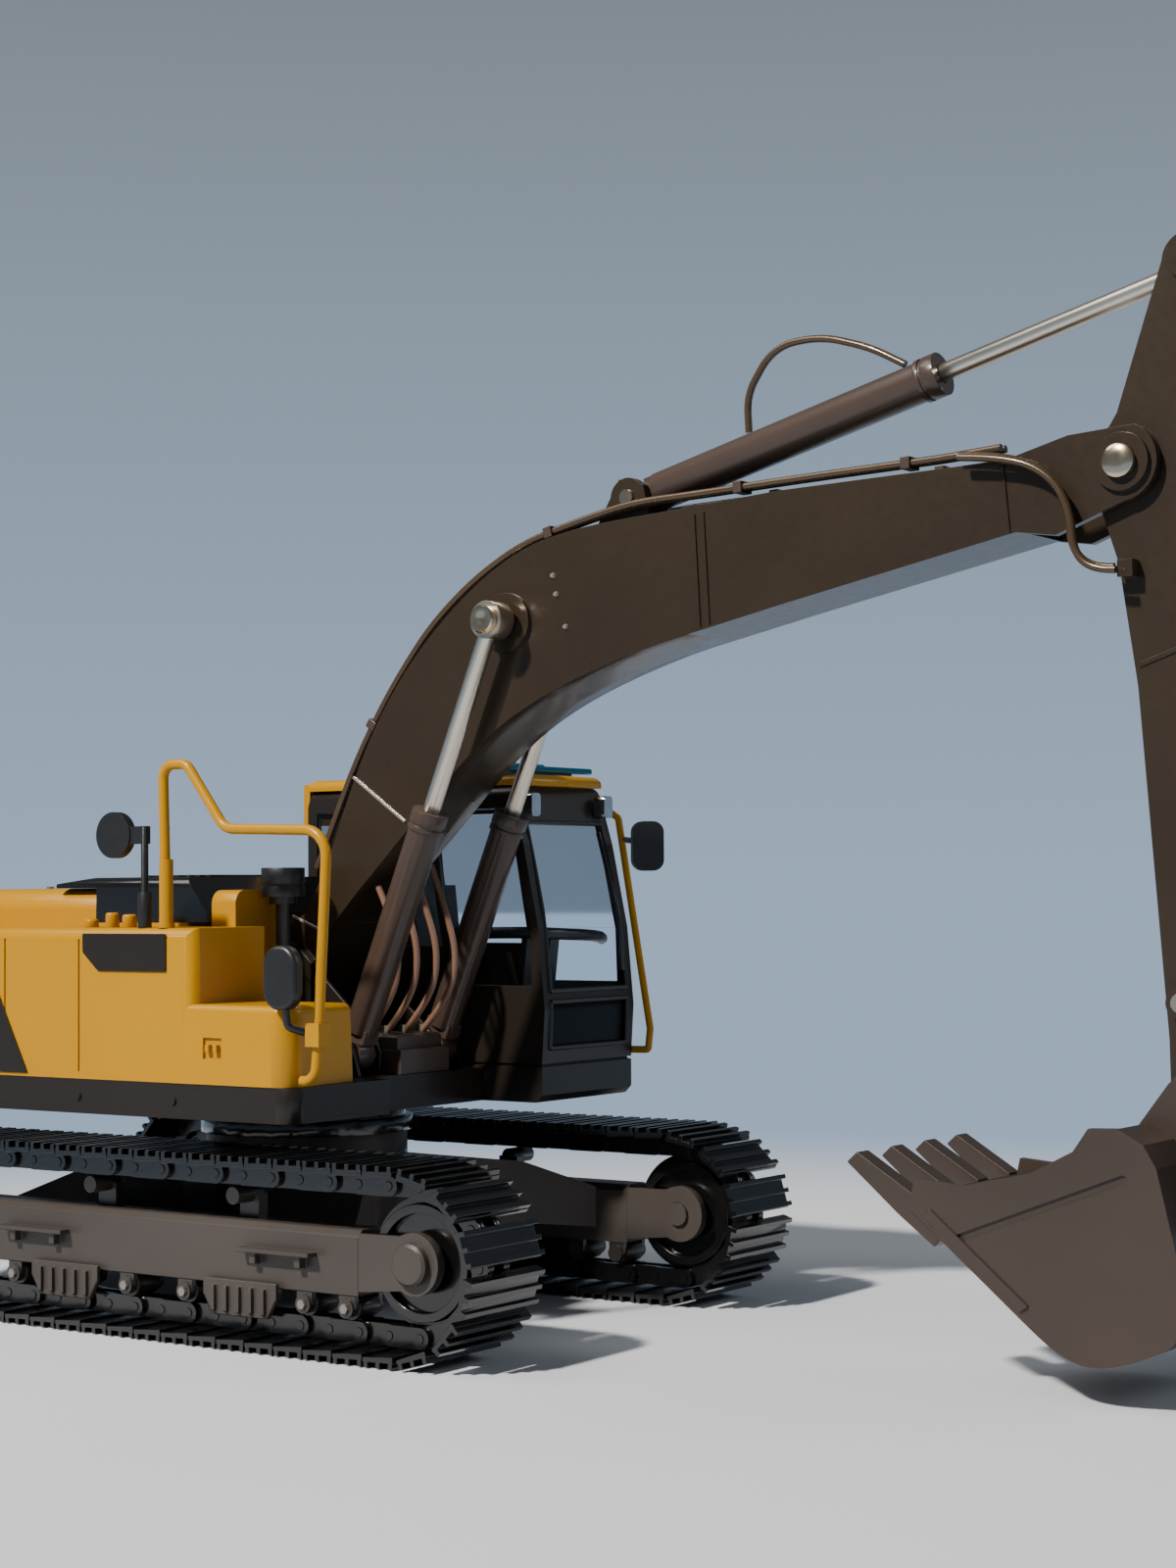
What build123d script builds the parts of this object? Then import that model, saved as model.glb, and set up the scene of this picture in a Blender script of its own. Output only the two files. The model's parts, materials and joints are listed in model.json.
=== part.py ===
"""A 1:50 display model of a crawler excavator, in separate pieces, in millimetres.

+X is the way the boom points, +Y the operator's left, +Z up, and z = 0 is the ground. Every
sketch is drawn on a plane measured from the slew axis: side(y), level(z) or across(x).
"""

import os
from math import asin, atan2, cos, degrees, hypot, pi, radians, sin

from build123d import *

os.makedirs("parts", exist_ok=True)

# Fits
running = 0.05  # radial clearance of a pin in its bore
gap = 0.2  # between pieces that move past each other
seat = 0.02  # between fixed pieces that lie face to face

# Tracks
wheelbase = 73.2
track_centre = 23.9
shoe_width = 12.0
sprocket_teeth = 12
track_links = 50
grouser_reach = 2.44  # from the chain's pin line out to a grouser's tip
beam_low, beam_high = 6.0, 12.6
beam_half = 2.3
axle_radius = 1.3

# Superstructure
deck_low, deck_high = 22.6, 26.3
deck_half = 26.0
deck_front = 20.3
tail_radius = 57.0
tail_front = -44.0
cabinet_top = 42.6
cabinet_inner = 14.5
cabinet_front = 6.5
toolbox_top = 34.6
hood_top = 46.9
cover_back, cover_front = -19.0, -4.8
cover_top = 48.1

# Cab
cab_right, cab_left = 9.8, 27.6
cab_rear, cab_front = -8.2, 26.0
cab_floor = 26.9
cab_top = 58.2
cab_wall = 0.9
pane = 0.35

# Boom, arm and bucket: pivots as (x, z) from the slew axis on the ground
foot_pivot = (0.5, 37.8)
lift_base = (13.0, 28.6)
lift_eye = (32.2, 74.85)
arm_pivot = (102.4, 85.2)
crowd_base = (46.2, 87.2)
crowd_eye = (108.6, 103.4)
bucket_pivot = (108.0, 27.2)
boom_half = 4.6
arm_half = 3.4
lift_side = 7.3  # middle of a boom cylinder, from the boom's own middle
bucket_half = 11.6
bucket_wall = 0.9

# Bucket linkage
rocker_rise = 8.6  # from the bucket pin up the arm to the rocker pin
rocker_length = 12.0
link_length = 12.0
ear_length = 8.8
ear_angle = -68.0  # of the bucket's second pin, seen from its first
link_boss = 1.7

# Cylinders
rod_radius = 0.95
eye_half = 1.2

ARM_DIRECTION = atan2(bucket_pivot[1] - arm_pivot[1], bucket_pivot[0] - arm_pivot[0])
rocker_pivot = (
    bucket_pivot[0] - rocker_rise * cos(ARM_DIRECTION),
    bucket_pivot[1] - rocker_rise * sin(ARM_DIRECTION),
)
bucket_ear = (
    bucket_pivot[0] + ear_length * cos(radians(ear_angle)),
    bucket_pivot[1] + ear_length * sin(radians(ear_angle)),
)


def outer_crossing(a, radius_a, b, radius_b):
    """Where circles about a and b meet, on the left of the way from a to b."""
    run = hypot(b[0] - a[0], b[1] - a[1])
    along = (run**2 + radius_a**2 - radius_b**2) / (2 * run)
    off = (radius_a**2 - along**2) ** 0.5
    ux, uz = (b[0] - a[0]) / run, (b[1] - a[1]) / run
    return (a[0] + along * ux - off * uz, a[1] + along * uz + off * ux)


link_joint = outer_crossing(rocker_pivot, rocker_length, bucket_ear, link_length)
curl_base = (arm_pivot[0] + 12.3, arm_pivot[1] - 0.6)

front_reach = link_joint[0] + link_boss
slew_x = (tail_radius - front_reach) / 2  # the origin is under the middle of the whole length

pitch = 2 * wheelbase / (track_links - sprocket_teeth)
pin_line = sprocket_teeth * pitch / (2 * pi)  # radius of the chain's pins round a wheel
wheel_high = pin_line + grouser_reach


def side(y):
    """A plane that faces right at this y: sketch x runs forwards, sketch y up."""
    return Plane(origin=(slew_x, y, 0), x_dir=(1, 0, 0), z_dir=(0, -1, 0))


def level(z):
    """A plane that faces up at this height: sketch x runs forwards, sketch y to the left."""
    return Plane(origin=(slew_x, 0, z))


def across(x):
    """A plane that faces forwards at this x: sketch x runs to the left, sketch y up."""
    return Plane(origin=(slew_x + x, 0, 0), x_dir=(0, 1, 0), z_dir=(1, 0, 0))


def tilted(start, y, angle):
    """A plane square to a slanting axis that leaves start, an (x, z) point, at this angle."""
    way = (cos(radians(angle)), 0, sin(radians(angle)))
    return Plane(origin=(slew_x + start[0], y, start[1]), x_dir=(0, 1, 0), z_dir=way)


def bearing(a, b):
    """The angle in degrees of the way from one (x, z) point to another."""
    return degrees(atan2(b[1] - a[1], b[0] - a[0]))


def distance(a, b):
    return hypot(b[0] - a[0], b[1] - a[1])


def prism(plane, points, amount):
    """A straight slab with this outline."""
    with BuildPart() as slab:
        with BuildSketch(plane):
            Polygon(*points, align=None)
        extrude(amount=amount)
    return slab.part


def disc(y, middle, radius, width):
    """A round slab about an (x, z) point, from y to the right."""
    with BuildPart() as slab:
        with BuildSketch(side(y)):
            with Locations(middle):
                Circle(radius)
        extrude(amount=width)
    return slab.part


def brick(x0, x1, y0, y1, z0, z1):
    """A square block between these limits, measured from the slew axis."""
    return prism(level(z0), [(x0, y0), (x1, y0), (x1, y1), (x0, y1)], z1 - z0)


def tube(points, radius, bend):
    """A round bar along straight runs joined by arcs, through points measured from the slew axis."""
    with BuildPart() as bar:
        with BuildLine() as path:
            FilletPolyline(*[(slew_x + x, y, z) for x, y, z in points], radius=bend)
        with BuildSketch(Plane(origin=path.line @ 0, z_dir=path.line % 0)):
            Circle(radius)
        sweep()
    return bar.part


def largest_bends(points, least):
    """For each corner, the largest arc that its two runs leave room for."""
    corners = [Vector(*p) for p in points]
    radii = []
    for before, here, after in zip(corners, corners[1:], corners[2:]):
        a, b = here - before, after - here
        turn = radians(a.get_angle(b))
        radii.append(max(least, 0.45 * min(a.length, b.length) / (sin(turn / 2) / cos(turn / 2))))
    print("hose radii", [round(r, 1) for r in radii])
    return radii


def both_sides(part):
    """The piece and its mirror image on the other side of the machine."""
    return [part, part.mirror(Plane.XZ)]


def write(part, name):
    part.label = name
    export_step(part, f"parts/{name}.step")


def write_group(parts, name):
    group = Compound(children=[solid for part in parts for solid in part.solids()])
    write(group, name)


# ---------------------------------------------------------------- lower frame
# A drum under the slew ring on four flat legs that spread to the two track frames.
drum_radius = 12.0
drum_top = 19.4
ring_top = deck_low - gap
screw_radius = 1.25  # for an M3 thread-forming screw, from a display base
screw_depth = 6.0
leg_low, leg_high = 9.0, 15.5
leg_end = track_centre - beam_half - seat

leg_plan = [(2, 9), (11, 2), (17, 9), (25, leg_end), (13, leg_end), (7, 13)]
leg_front = [(0, 8.5), (14, 8.5), (leg_end, 7.6), (leg_end, 12.2), (14, 15.5), (0, 17.5)]
with BuildPart() as leg:
    with BuildSketch(level(0)):
        Polygon(*leg_plan, align=None)
    extrude(amount=drum_top)
    with BuildSketch(across(0)):
        Polygon(*leg_front, align=None)
    extrude(amount=wheelbase / 2, mode=Mode.INTERSECT)
back_leg = leg.part.mirror(Plane(origin=(slew_x, 0, 0), z_dir=(1, 0, 0)))
with BuildPart() as lower_frame:
    with BuildSketch(level(leg_low)):
        Circle(drum_radius - 0.6)
    extrude(amount=drum_top - leg_low)
    for quarter in both_sides(leg.part) + both_sides(back_leg):
        add(quarter)
    with BuildSketch(level(leg_low)):
        Circle(screw_radius)
    extrude(amount=screw_depth, mode=Mode.SUBTRACT)
write(lower_frame.part, "lower_frame")

with BuildPart() as slew_ring:
    with BuildSketch(level(drum_top)):
        Circle(drum_radius)
    extrude(amount=1.6)
    with BuildSketch(level(drum_top + 1.6)):
        Circle(drum_radius - 0.8)
    extrude(amount=ring_top - drum_top - 1.6)
    with BuildSketch(level(drum_top)):
        Circle(drum_radius - 3.4)
    extrude(amount=ring_top - drum_top, mode=Mode.SUBTRACT)
write(slew_ring.part, "slew_ring")

# ---------------------------------------------------------------- track frames
# A box beam each side with a plate each side of the idler, two side steps and a motor seat.
beam_front = wheelbase / 2 - pin_line
beam_back = -wheelbase / 2 + pin_line + 1.2
yoke_thick = 0.55
hub_half = 1.6
step_xs = (-16.0, 19.0)
beam = brick(beam_back, beam_front, track_centre - beam_half, track_centre + beam_half,
             beam_low, beam_high)
step_low = 9.6
with BuildPart() as track_frame:
    add(beam)
    chamfer(track_frame.edges().filter_by(Axis.X).group_by(Axis.Z)[-1], 0.7)
    for x in step_xs:
        add(brick(x - 4.9, x + 4.9, track_centre + beam_half, track_centre + beam_half + 1.5,
                  step_low, step_low + 0.5))
        for post in (x - 3, x + 3):
            add(brick(post - 0.4, post + 0.4, track_centre + beam_half,
                      track_centre + beam_half + 1.0, step_low - 1.2, step_low))
write_group(both_sides(track_frame.part), "track_frames")

yoke_y = track_centre + hub_half + 0.15
idler_centre = (wheelbase / 2, wheel_high)
yoke_plate = [
    (beam_front + seat, beam_low + 0.5),
    (idler_centre[0], wheel_high - 2.6),
    (idler_centre[0] + 2.6, wheel_high),
    (idler_centre[0], wheel_high + 2.6),
    (beam_front + seat, beam_high - 0.3),
]
yokes = []
for hand in (1, -1):
    outer = yoke_y + yoke_thick if hand > 0 else 2 * track_centre - yoke_y
    with BuildPart() as yoke:
        add(prism(side(outer), yoke_plate, yoke_thick))
        add(disc(outer + (0.5 if hand > 0 else 0), idler_centre, 3.1, yoke_thick + 0.5))
        add(disc(outer + 1, idler_centre, axle_radius, 3), mode=Mode.SUBTRACT)
    yokes += both_sides(yoke.part)
for y in (track_centre, -track_centre):
    yokes.append(disc(y + hub_half + 1.6, idler_centre, axle_radius - running, 2 * hub_half + 3.2))
write_group(yokes, "idler_yokes")

# ---------------------------------------------------------------- rollers and guards
roller_radius = 1.25
roller_xs = (-28.1, -19.7, -11.2, -2.7, 5.7, 14.1, 22.1, 27.7)
carrier_xs = (-8.4, 12.2)
rollers = []
for x in roller_xs:
    with BuildPart() as roller:
        add(disc(track_centre + 1.6, (x, beam_low - roller_radius), roller_radius, 3.2))
        add(disc(track_centre + 2.5, (x, beam_low - roller_radius), 0.95, 5.0))
        for y in (track_centre - 2.2, track_centre + 1.6):
            add(brick(x - 1.0, x + 1.0, y, y + 0.6, beam_low - roller_radius, beam_low - seat))
    rollers += both_sides(roller.part)
chain_half_height = 1.05
carrier_radius = 0.9
carrier_z = 2 * wheel_high - grouser_reach - chain_half_height - gap - carrier_radius
for x in carrier_xs:
    with BuildPart() as carrier:
        add(brick(x - 1.3, x + 1.3, track_centre - 2.0, track_centre - 0.6, beam_high + seat,
                  carrier_z))
        add(disc(track_centre + 2.0, (x, carrier_z), carrier_radius, 4.0))
    rollers += both_sides(carrier.part)
write_group(rollers, "track_rollers")

guard_thick = 0.5
guard_half = 5.0
guard_xs = (-11.2, 14.1)
guards = []
for x in guard_xs:
    outline = [
        (x - guard_half, 4.9), (x - guard_half + 1.2, 2.9), (x + guard_half - 1.2, 2.9),
        (x + guard_half, 4.9), (x + guard_half, beam_low + 0.6), (x - guard_half, beam_low + 0.6),
    ]
    with BuildPart() as guard:
        add(prism(side(track_centre + 2.6 + guard_thick), outline, guard_thick))
        for rib in (x - 3.4, x - 1.7, x, x + 1.7, x + 3.4):
            add(brick(rib - 0.25, rib + 0.25, track_centre + 2.6 + guard_thick,
                      track_centre + 3.0 + guard_thick, 3.3, beam_low))
    guards += both_sides(guard.part)
write_group(guards, "track_guards")

# ---------------------------------------------------------------- wheels and final drives
sprocket_centre = (-wheelbase / 2, wheel_high)
tooth_half = 0.65
with BuildPart() as left_sprocket:
    with BuildSketch(side(track_centre + tooth_half)):
        with Locations(sprocket_centre):
            Circle(5.8)
            with PolarLocations(6.15, sprocket_teeth, start_angle=180 / sprocket_teeth):
                Trapezoid(1.9, 1.2, 75, rotation=-90)
    extrude(amount=2 * tooth_half)
    add(disc(track_centre + 1.7, sprocket_centre, 3.6, 3.4))
    add(disc(track_centre + 2, sprocket_centre, axle_radius, 4), mode=Mode.SUBTRACT)
    with BuildSketch(side(track_centre + 1)):
        with Locations(sprocket_centre):
            with PolarLocations(4.9, 6):
                Circle(0.6)
    extrude(amount=2, mode=Mode.SUBTRACT)
write(left_sprocket.part, "sprocket_left")
write(left_sprocket.part.mirror(Plane.XZ), "sprocket_right")

with BuildPart() as left_idler:
    add(disc(track_centre + hub_half, idler_centre, pin_line - chain_half_height - 0.5,
             2 * hub_half))
    add(disc(track_centre + 0.6, idler_centre, pin_line - 0.75, 1.2))
    with BuildSketch(side(track_centre + hub_half)):
        with Locations(idler_centre):
            Circle(4.9)
            Circle(2.4, mode=Mode.SUBTRACT)
    extrude(amount=0.8, mode=Mode.SUBTRACT)
    with BuildSketch(side(track_centre - hub_half + 0.8)):
        with Locations(idler_centre):
            Circle(4.9)
            Circle(2.4, mode=Mode.SUBTRACT)
    extrude(amount=0.8, mode=Mode.SUBTRACT)
    add(disc(track_centre + 2, idler_centre, axle_radius, 4), mode=Mode.SUBTRACT)
write(left_idler.part, "idler_left")
write(left_idler.part.mirror(Plane.XZ), "idler_right")

with BuildPart() as drive:
    add(disc(track_centre - 1.9, sprocket_centre, 3.9, 2.6))
    add(disc(track_centre + 1.9, sprocket_centre, axle_radius - running, 4.0))
    add(disc(track_centre + 3.2, sprocket_centre, 3.3, 1.3))
    add(disc(track_centre + 3.7, sprocket_centre, 2.0, 0.6))
    add(prism(side(track_centre - 1.9), [
        (sprocket_centre[0], wheel_high - 2.6), (beam_back - seat, beam_low + 0.6),
        (beam_back - seat, beam_high - 0.9), (sprocket_centre[0], wheel_high + 2.6)], 0.38))
write_group(both_sides(drive.part), "final_drives")

# ---------------------------------------------------------------- chains and shoes
# Both go round the two wheels on the chain's pin line, one link after another.
link_thick = 0.45
pin_radius = 0.45
plate_out = 1.2  # from the pin line out to a shoe's plate
plate_thick = 0.7


def track_station(n):
    """Place of the n-th link's middle: x, z and the turn of its outer side from straight up."""
    straight = wheelbase
    bend = pi * pin_line
    s = (n * pitch) % (2 * (straight + bend))
    if s < straight:
        return wheelbase / 2 - s, wheel_high + pin_line, 0
    s -= straight
    if s < bend:
        turn = s / pin_line
        return (-wheelbase / 2 - pin_line * sin(turn), wheel_high + pin_line * cos(turn),
                degrees(turn))
    s -= bend
    if s < straight:
        return -wheelbase / 2 + s, wheel_high - pin_line, 180
    turn = pi + (s - straight) / pin_line
    return wheelbase / 2 - pin_line * sin(turn), wheel_high + pin_line * cos(turn), degrees(turn)


def along_track(part, x, z, turn, y):
    """The piece, drawn about the origin with its outer side up, carried to its place."""
    return part.moved(Location((slew_x + x, y, z), (0, -turn, 0)))


def link_station(n):
    """Middle of the n-th link, between two pins, and the turn of its outer side."""
    (ax, az, _), (bx, bz, _) = track_station(n), track_station(n + 1)
    return (ax + bx) / 2, (az + bz) / 2, degrees(atan2(az - bz, ax - bx))


shoe_length = pitch - 0.15
with BuildPart() as shoe:
    with BuildSketch(Plane.XZ.offset(-shoe_width / 2)):
        Polygon((-shoe_length / 2, plate_out), (shoe_length / 2, plate_out + 0.25),
                (shoe_length / 2, plate_out + plate_thick), (-shoe_length / 2, plate_out + 0.6),
                align=None)
        for x, high in ((-1.55, grouser_reach), (0, grouser_reach), (1.5, grouser_reach)):
            with Locations((x, (plate_out + 0.3 + high) / 2)):
                Rectangle(0.5, high - plate_out - 0.3)
    extrude(amount=shoe_width)
for hand, y in (("left", track_centre), ("right", -track_centre)):
    write_group([along_track(shoe.part, *link_station(n), y) for n in range(track_links)],
                f"track_shoes_{hand}")


def chain_plate(y):
    """One side plate of a link, from its own pin to the next."""
    with BuildPart() as plate:
        with BuildSketch(Plane.XZ.offset(-y)):
            SlotCenterToCenter(pitch, 2 * chain_half_height)
            with Locations((-pitch / 2, 0), (pitch / 2, 0)):
                Circle(pin_radius + running, mode=Mode.SUBTRACT)
        extrude(amount=link_thick)
    return plate.part


inner_y, outer_y = 1.25, 1.75
with BuildPart() as chain_pin:
    with BuildSketch(Plane.XZ.offset(-outer_y - 0.1)):
        Circle(pin_radius)
    extrude(amount=2 * outer_y + 0.2)
for hand, y in (("left", track_centre), ("right", -track_centre)):
    pieces = []
    for n in range(track_links):
        edge = outer_y if n % 2 else inner_y
        for start in (edge, -edge + link_thick):
            pieces.append(along_track(chain_plate(start), *link_station(n), y))
        pieces.append(along_track(chain_pin.part, *track_station(n), y))
    write_group(pieces, f"track_chain_{hand}")

# ---------------------------------------------------------------- deck
cab_side = cab_right - gap
with BuildPart() as deck:
    with BuildSketch(level(deck_low)):
        Polygon((tail_front, -deck_half), (deck_front, -deck_half), (deck_front, -10),
                (17.6, -9.4), (17.6, cab_side), (cab_rear - gap, cab_side),
                (cab_rear - gap, deck_half), (tail_front, deck_half), align=None)
    extrude(amount=deck_high - deck_low)
    fillet(deck.edges().filter_by(Axis.Z).sort_by_distance(
        (slew_x + deck_front, -deck_half, deck_low))[0], 2.0)
    with BuildSketch(level(deck_low)):
        Circle(4)
    extrude(amount=1.2, mode=Mode.SUBTRACT)
write(deck.part, "deck")

# Two upright plates stand on the deck: the boom's foot turns between them, and each carries a
# boom cylinder's lower end against an ear of its own.
cheek_in, cheek_out = boom_half + gap, boom_half + gap + 0.5
ear_in, ear_out = lift_side + eye_half + gap, lift_side + eye_half + gap + 0.6
cheek = [
    (cover_front + gap, deck_high), (lift_base[0] + 1.9, deck_high), (lift_base[0] + 2.1, lift_base[1]),
    (lift_base[0] + 1.2, lift_base[1] + 1.8), (foot_pivot[0] + 2.6, foot_pivot[1] + 2.6),
    (foot_pivot[0], foot_pivot[1] + 3.6), (foot_pivot[0] - 3.0, foot_pivot[1] + 2.0),
    (cover_front + gap, 33.0),
]
brackets = []
foot_pin_radius = 1.3
lift_pin_radius = 0.85
with BuildPart() as cheek_plate:
    add(prism(side(cheek_out), cheek, cheek_out - cheek_in))
    add(disc(lift_side - eye_half - gap, lift_base, 1.5, lift_side - eye_half - gap - cheek_out))
    add(disc(cheek_out + 0.5, foot_pivot, 2.6, 0.5))
    add(disc(ear_in, lift_base, lift_pin_radius + seat, ear_in), mode=Mode.SUBTRACT)
    add(disc(ear_in, foot_pivot, foot_pin_radius + seat, ear_in), mode=Mode.SUBTRACT)
brackets += both_sides(cheek_plate.part)
with BuildPart() as ear:
    add(prism(side(ear_out), [
        (lift_base[0] - 2.3, deck_high), (lift_base[0] + 2.3, deck_high),
        (lift_base[0] + 1.4, lift_base[1] + 1.4), (lift_base[0] - 1.4, lift_base[1] + 1.4)],
        ear_out - ear_in))
    add(disc(ear_out, lift_base, lift_pin_radius + seat, 1), mode=Mode.SUBTRACT)
brackets += both_sides(ear.part)
write_group(brackets, "boom_bracket")

pins = [disc(cheek_out + 0.9, foot_pivot, foot_pin_radius, 2 * cheek_out + 1.8)]
lift_pin = disc(ear_out + 0.3, lift_base, lift_pin_radius, ear_out + 0.3 - cheek_in)
write_group(pins + both_sides(lift_pin), "foot_pins")

# ---------------------------------------------------------------- bodywork
with BuildPart() as right_cabinet:
    with BuildSketch(side(-cabinet_inner)):
        Polygon((tail_front + gap, deck_high + seat), (cabinet_front, deck_high + seat),
                (cabinet_front, cabinet_top), (tail_front + gap, cabinet_top), align=None)
    extrude(amount=deck_half - cabinet_inner)
    fillet([right_cabinet.edges().filter_by(Axis.X).group_by(Axis.Z)[-1].sort_by(Axis.Y)[0],
            right_cabinet.edges().filter_by(Axis.Z).sort_by_distance(
                (slew_x + cabinet_front, -deck_half, cabinet_top))[0]], 1.4)
    with BuildSketch(level(deck_high + seat)):
        Polygon((3.5, -deck_half - 0.12), (deck_front - 0.1, -deck_half - 0.12),
                (deck_front - 1.4, -cabinet_inner), (3.5, -cabinet_inner), align=None)
    extrude(amount=toolbox_top - deck_high, taper=1.5)
    fillet(right_cabinet.edges().sort_by_distance(
        (slew_x + deck_front, -deck_half, 30))[0], 2.2)
    fillet(right_cabinet.faces().filter_by(Axis.Z).filter_by_position(
        Axis.Z, toolbox_top - 0.5, toolbox_top + 0.5).edges().filter_by_position(
        Axis.X, slew_x + 8, slew_x + 30), 0.8)
    for x in (-21.5, -10.0):
        add(brick(x - 0.12, x + 0.12, -deck_half - 1, -deck_half + 0.25, deck_high + 0.8,
                  cabinet_top - 1.2), mode=Mode.SUBTRACT)
    add(brick(8.2, 10.8, -deck_half - 1, -deck_half + 0.3, 29.0, 31.2), mode=Mode.SUBTRACT)
write(right_cabinet.part, "right_cabinet")

with BuildPart() as left_cabinet:
    add(brick(tail_front + gap, cab_rear - 1.0, cabinet_inner, deck_half, deck_high + seat,
              cabinet_top))
    fillet(left_cabinet.edges().filter_by(Axis.X).group_by(Axis.Z)[-1].sort_by(Axis.Y)[-1], 1.4)
    for x in (-32.0, -20.5):
        add(brick(x - 0.12, x + 0.12, deck_half - 0.25, deck_half + 1, deck_high + 0.8,
                  cabinet_top - 1.2), mode=Mode.SUBTRACT)
write(left_cabinet.part, "left_cabinet")

hood_half = cabinet_inner - seat
with BuildPart() as engine_hood:
    with BuildSketch(level(deck_high + seat)):
        Polygon((tail_front + gap, -hood_half), (cover_front, -hood_half), (cover_front, 9.2),
                (cab_rear - 0.4, 9.2), (cab_rear - 0.4, hood_half),
                (tail_front + gap, hood_half), align=None)
    extrude(amount=cabinet_top + 0.4 - deck_high - seat)
    with BuildSketch(level(cabinet_top + 0.4)):
        Polygon((tail_front + gap, -hood_half), (cover_back, -hood_half),
                (cover_back, hood_half), (tail_front + gap, hood_half), align=None)
    extrude(amount=hood_top - cabinet_top - 0.4)
    fillet(engine_hood.edges().filter_by(Axis.X).group_by(Axis.Z)[-1], 2.6)
    add(brick(cover_front, 2.3, -hood_half, -6.6, deck_high + seat, cabinet_top))
    add(brick(cover_front + 3.6, 2.3, -hood_half, -6.6, cabinet_top, hood_top - 0.3))
    fillet(engine_hood.edges().filter_by(Axis.X).filter_by_position(
        Axis.X, slew_x - 1, slew_x + 2).group_by(Axis.Z)[-1], 1.5)
write(engine_hood.part, "engine_hood")

with BuildPart() as engine_cover:
    with BuildSketch(side(hood_half)):
        Polygon((cover_back + seat, cabinet_top + 0.45), (cover_front + 3.4, cabinet_top + 0.45),
                (cover_front + 3.0, 44.0), (cover_front - 0.4, cover_top),
                (cover_back - 0.8, cover_top), (cover_back - 6.4, hood_top + 0.5),
                (cover_back - 6.4, hood_top + seat), (cover_back + seat, hood_top + seat),
                align=None)
    extrude(amount=2 * hood_half)
    fillet(engine_cover.edges().filter_by(Axis.X).group_by(Axis.Z)[-1], 1.1)
    add(brick(cab_rear - 0.4, 5, 9.2, 20, 40, 50), mode=Mode.SUBTRACT)
write(engine_cover.part, "engine_cover")

cleaner_at = (4.9, -9.6)
with BuildPart() as pre_cleaner:
    with BuildSketch(level(deck_high + seat)):
        with Locations(cleaner_at):
            Circle(0.8)
    extrude(amount=20)
    with BuildSketch(level(45.8)):
        with Locations(cleaner_at):
            Circle(2.4)
    extrude(amount=3.2)
    with BuildSketch(level(45.0)):
        with Locations(cleaner_at):
            Circle(1.5)
    extrude(amount=1)
    with BuildSketch(level(47.0)):
        with Locations(cleaner_at):
            Circle(2.5)
            Circle(2.25, mode=Mode.SUBTRACT)
    extrude(amount=0.3, mode=Mode.SUBTRACT)
write(pre_cleaner.part, "pre_cleaner")

caps = []
for x, y, radius, high in ((-12.6, -21.5, 0.8, 0.9), (-8.4, -22.5, 0.75, 1.6),
                           (-6.3, -22.0, 0.8, 1.4)):
    with BuildPart() as cap:
        with BuildSketch(level(cabinet_top + seat)):
            with Locations((x, y)):
                Circle(radius)
        extrude(amount=high)
        fillet(cap.edges().filter_by(GeomType.CIRCLE).group_by(Axis.Z)[-1], 0.3)
    caps.append(cap.part)
write_group(caps, "filler_caps")

plate_y = -deck_half - seat
name_plate = [(-7.0, 38.0), (3.0, 38.0), (3.0, 42.0), (-9.3, 42.0), (-9.3, 40.0)]
tail_plate = [(tail_front + 1, deck_high + 0.4), (-17.8, deck_high + 0.4), (-22.5, 35.5),
              (-28.0, 38.2), (tail_front + 1, 38.2)]
panels = [prism(side(plate_y), name_plate, 0.15), prism(side(plate_y), tail_plate, 0.15)]
panels.append(prism(side(deck_half + seat + 0.15), [
    (x, z) for x, z in tail_plate], 0.15))
write_group(panels, "blank_plates")

weight_low = 21.6
with BuildPart() as counterweight:
    with BuildSketch(level(weight_low)):
        Circle(tail_radius)
        Rectangle(2 * tail_radius, 2 * deck_half, mode=Mode.INTERSECT)
        with Locations((tail_front + tail_radius, 0)):
            Rectangle(2 * tail_radius, 2 * tail_radius, mode=Mode.SUBTRACT)
    extrude(amount=hood_top - 1.9 - weight_low)
    fillet(counterweight.edges().group_by(Axis.Z)[-1], 1.6)
    fillet(counterweight.edges().group_by(Axis.Z)[0].sort_by(Axis.X)[0], 1.6)
    for y in (-9.0, 9.0):
        add(brick(tail_front - 9, tail_front - 6, y - 1.2, y + 1.2, 44.0, 46.0),
            mode=Mode.SUBTRACT)
write(counterweight.part, "counterweight")

# ---------------------------------------------------------------- right handrail and mirrors
rail_radius = 0.55
rail_y = -24.4
mirror_post_x = -1.7
rail_points = [(1.5, rail_y, cabinet_top + seat), (1.0, rail_y, 60.0), (4.4, rail_y, 60.0),
               (9.9, rail_y, 53.0), (23.9, rail_y, 52.6), (22.6, rail_y, 31.0),
               (22.2, rail_y, 27.0), (deck_front + 0.1, rail_y, 27.0)]
with BuildPart() as right_handrail:
    add(tube(rail_points, rail_radius, [1.5, 1.5, 2.6, 2.8, 4.0, 1.6]))
    add(brick(21.7, 23.5, rail_y - 1.0, rail_y + 0.9, 30.6, 33.0))
    with BuildSketch(level(cabinet_top + seat)):
        with Locations((1.5, rail_y)):
            Circle(0.9)
    extrude(amount=0.5)
    with BuildSketch(level(cabinet_top + 0.3)):
        with Locations((1.45, rail_y)):
            Circle(0.75)
    extrude(amount=7)
write(right_handrail.part, "right_handrail")

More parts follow.
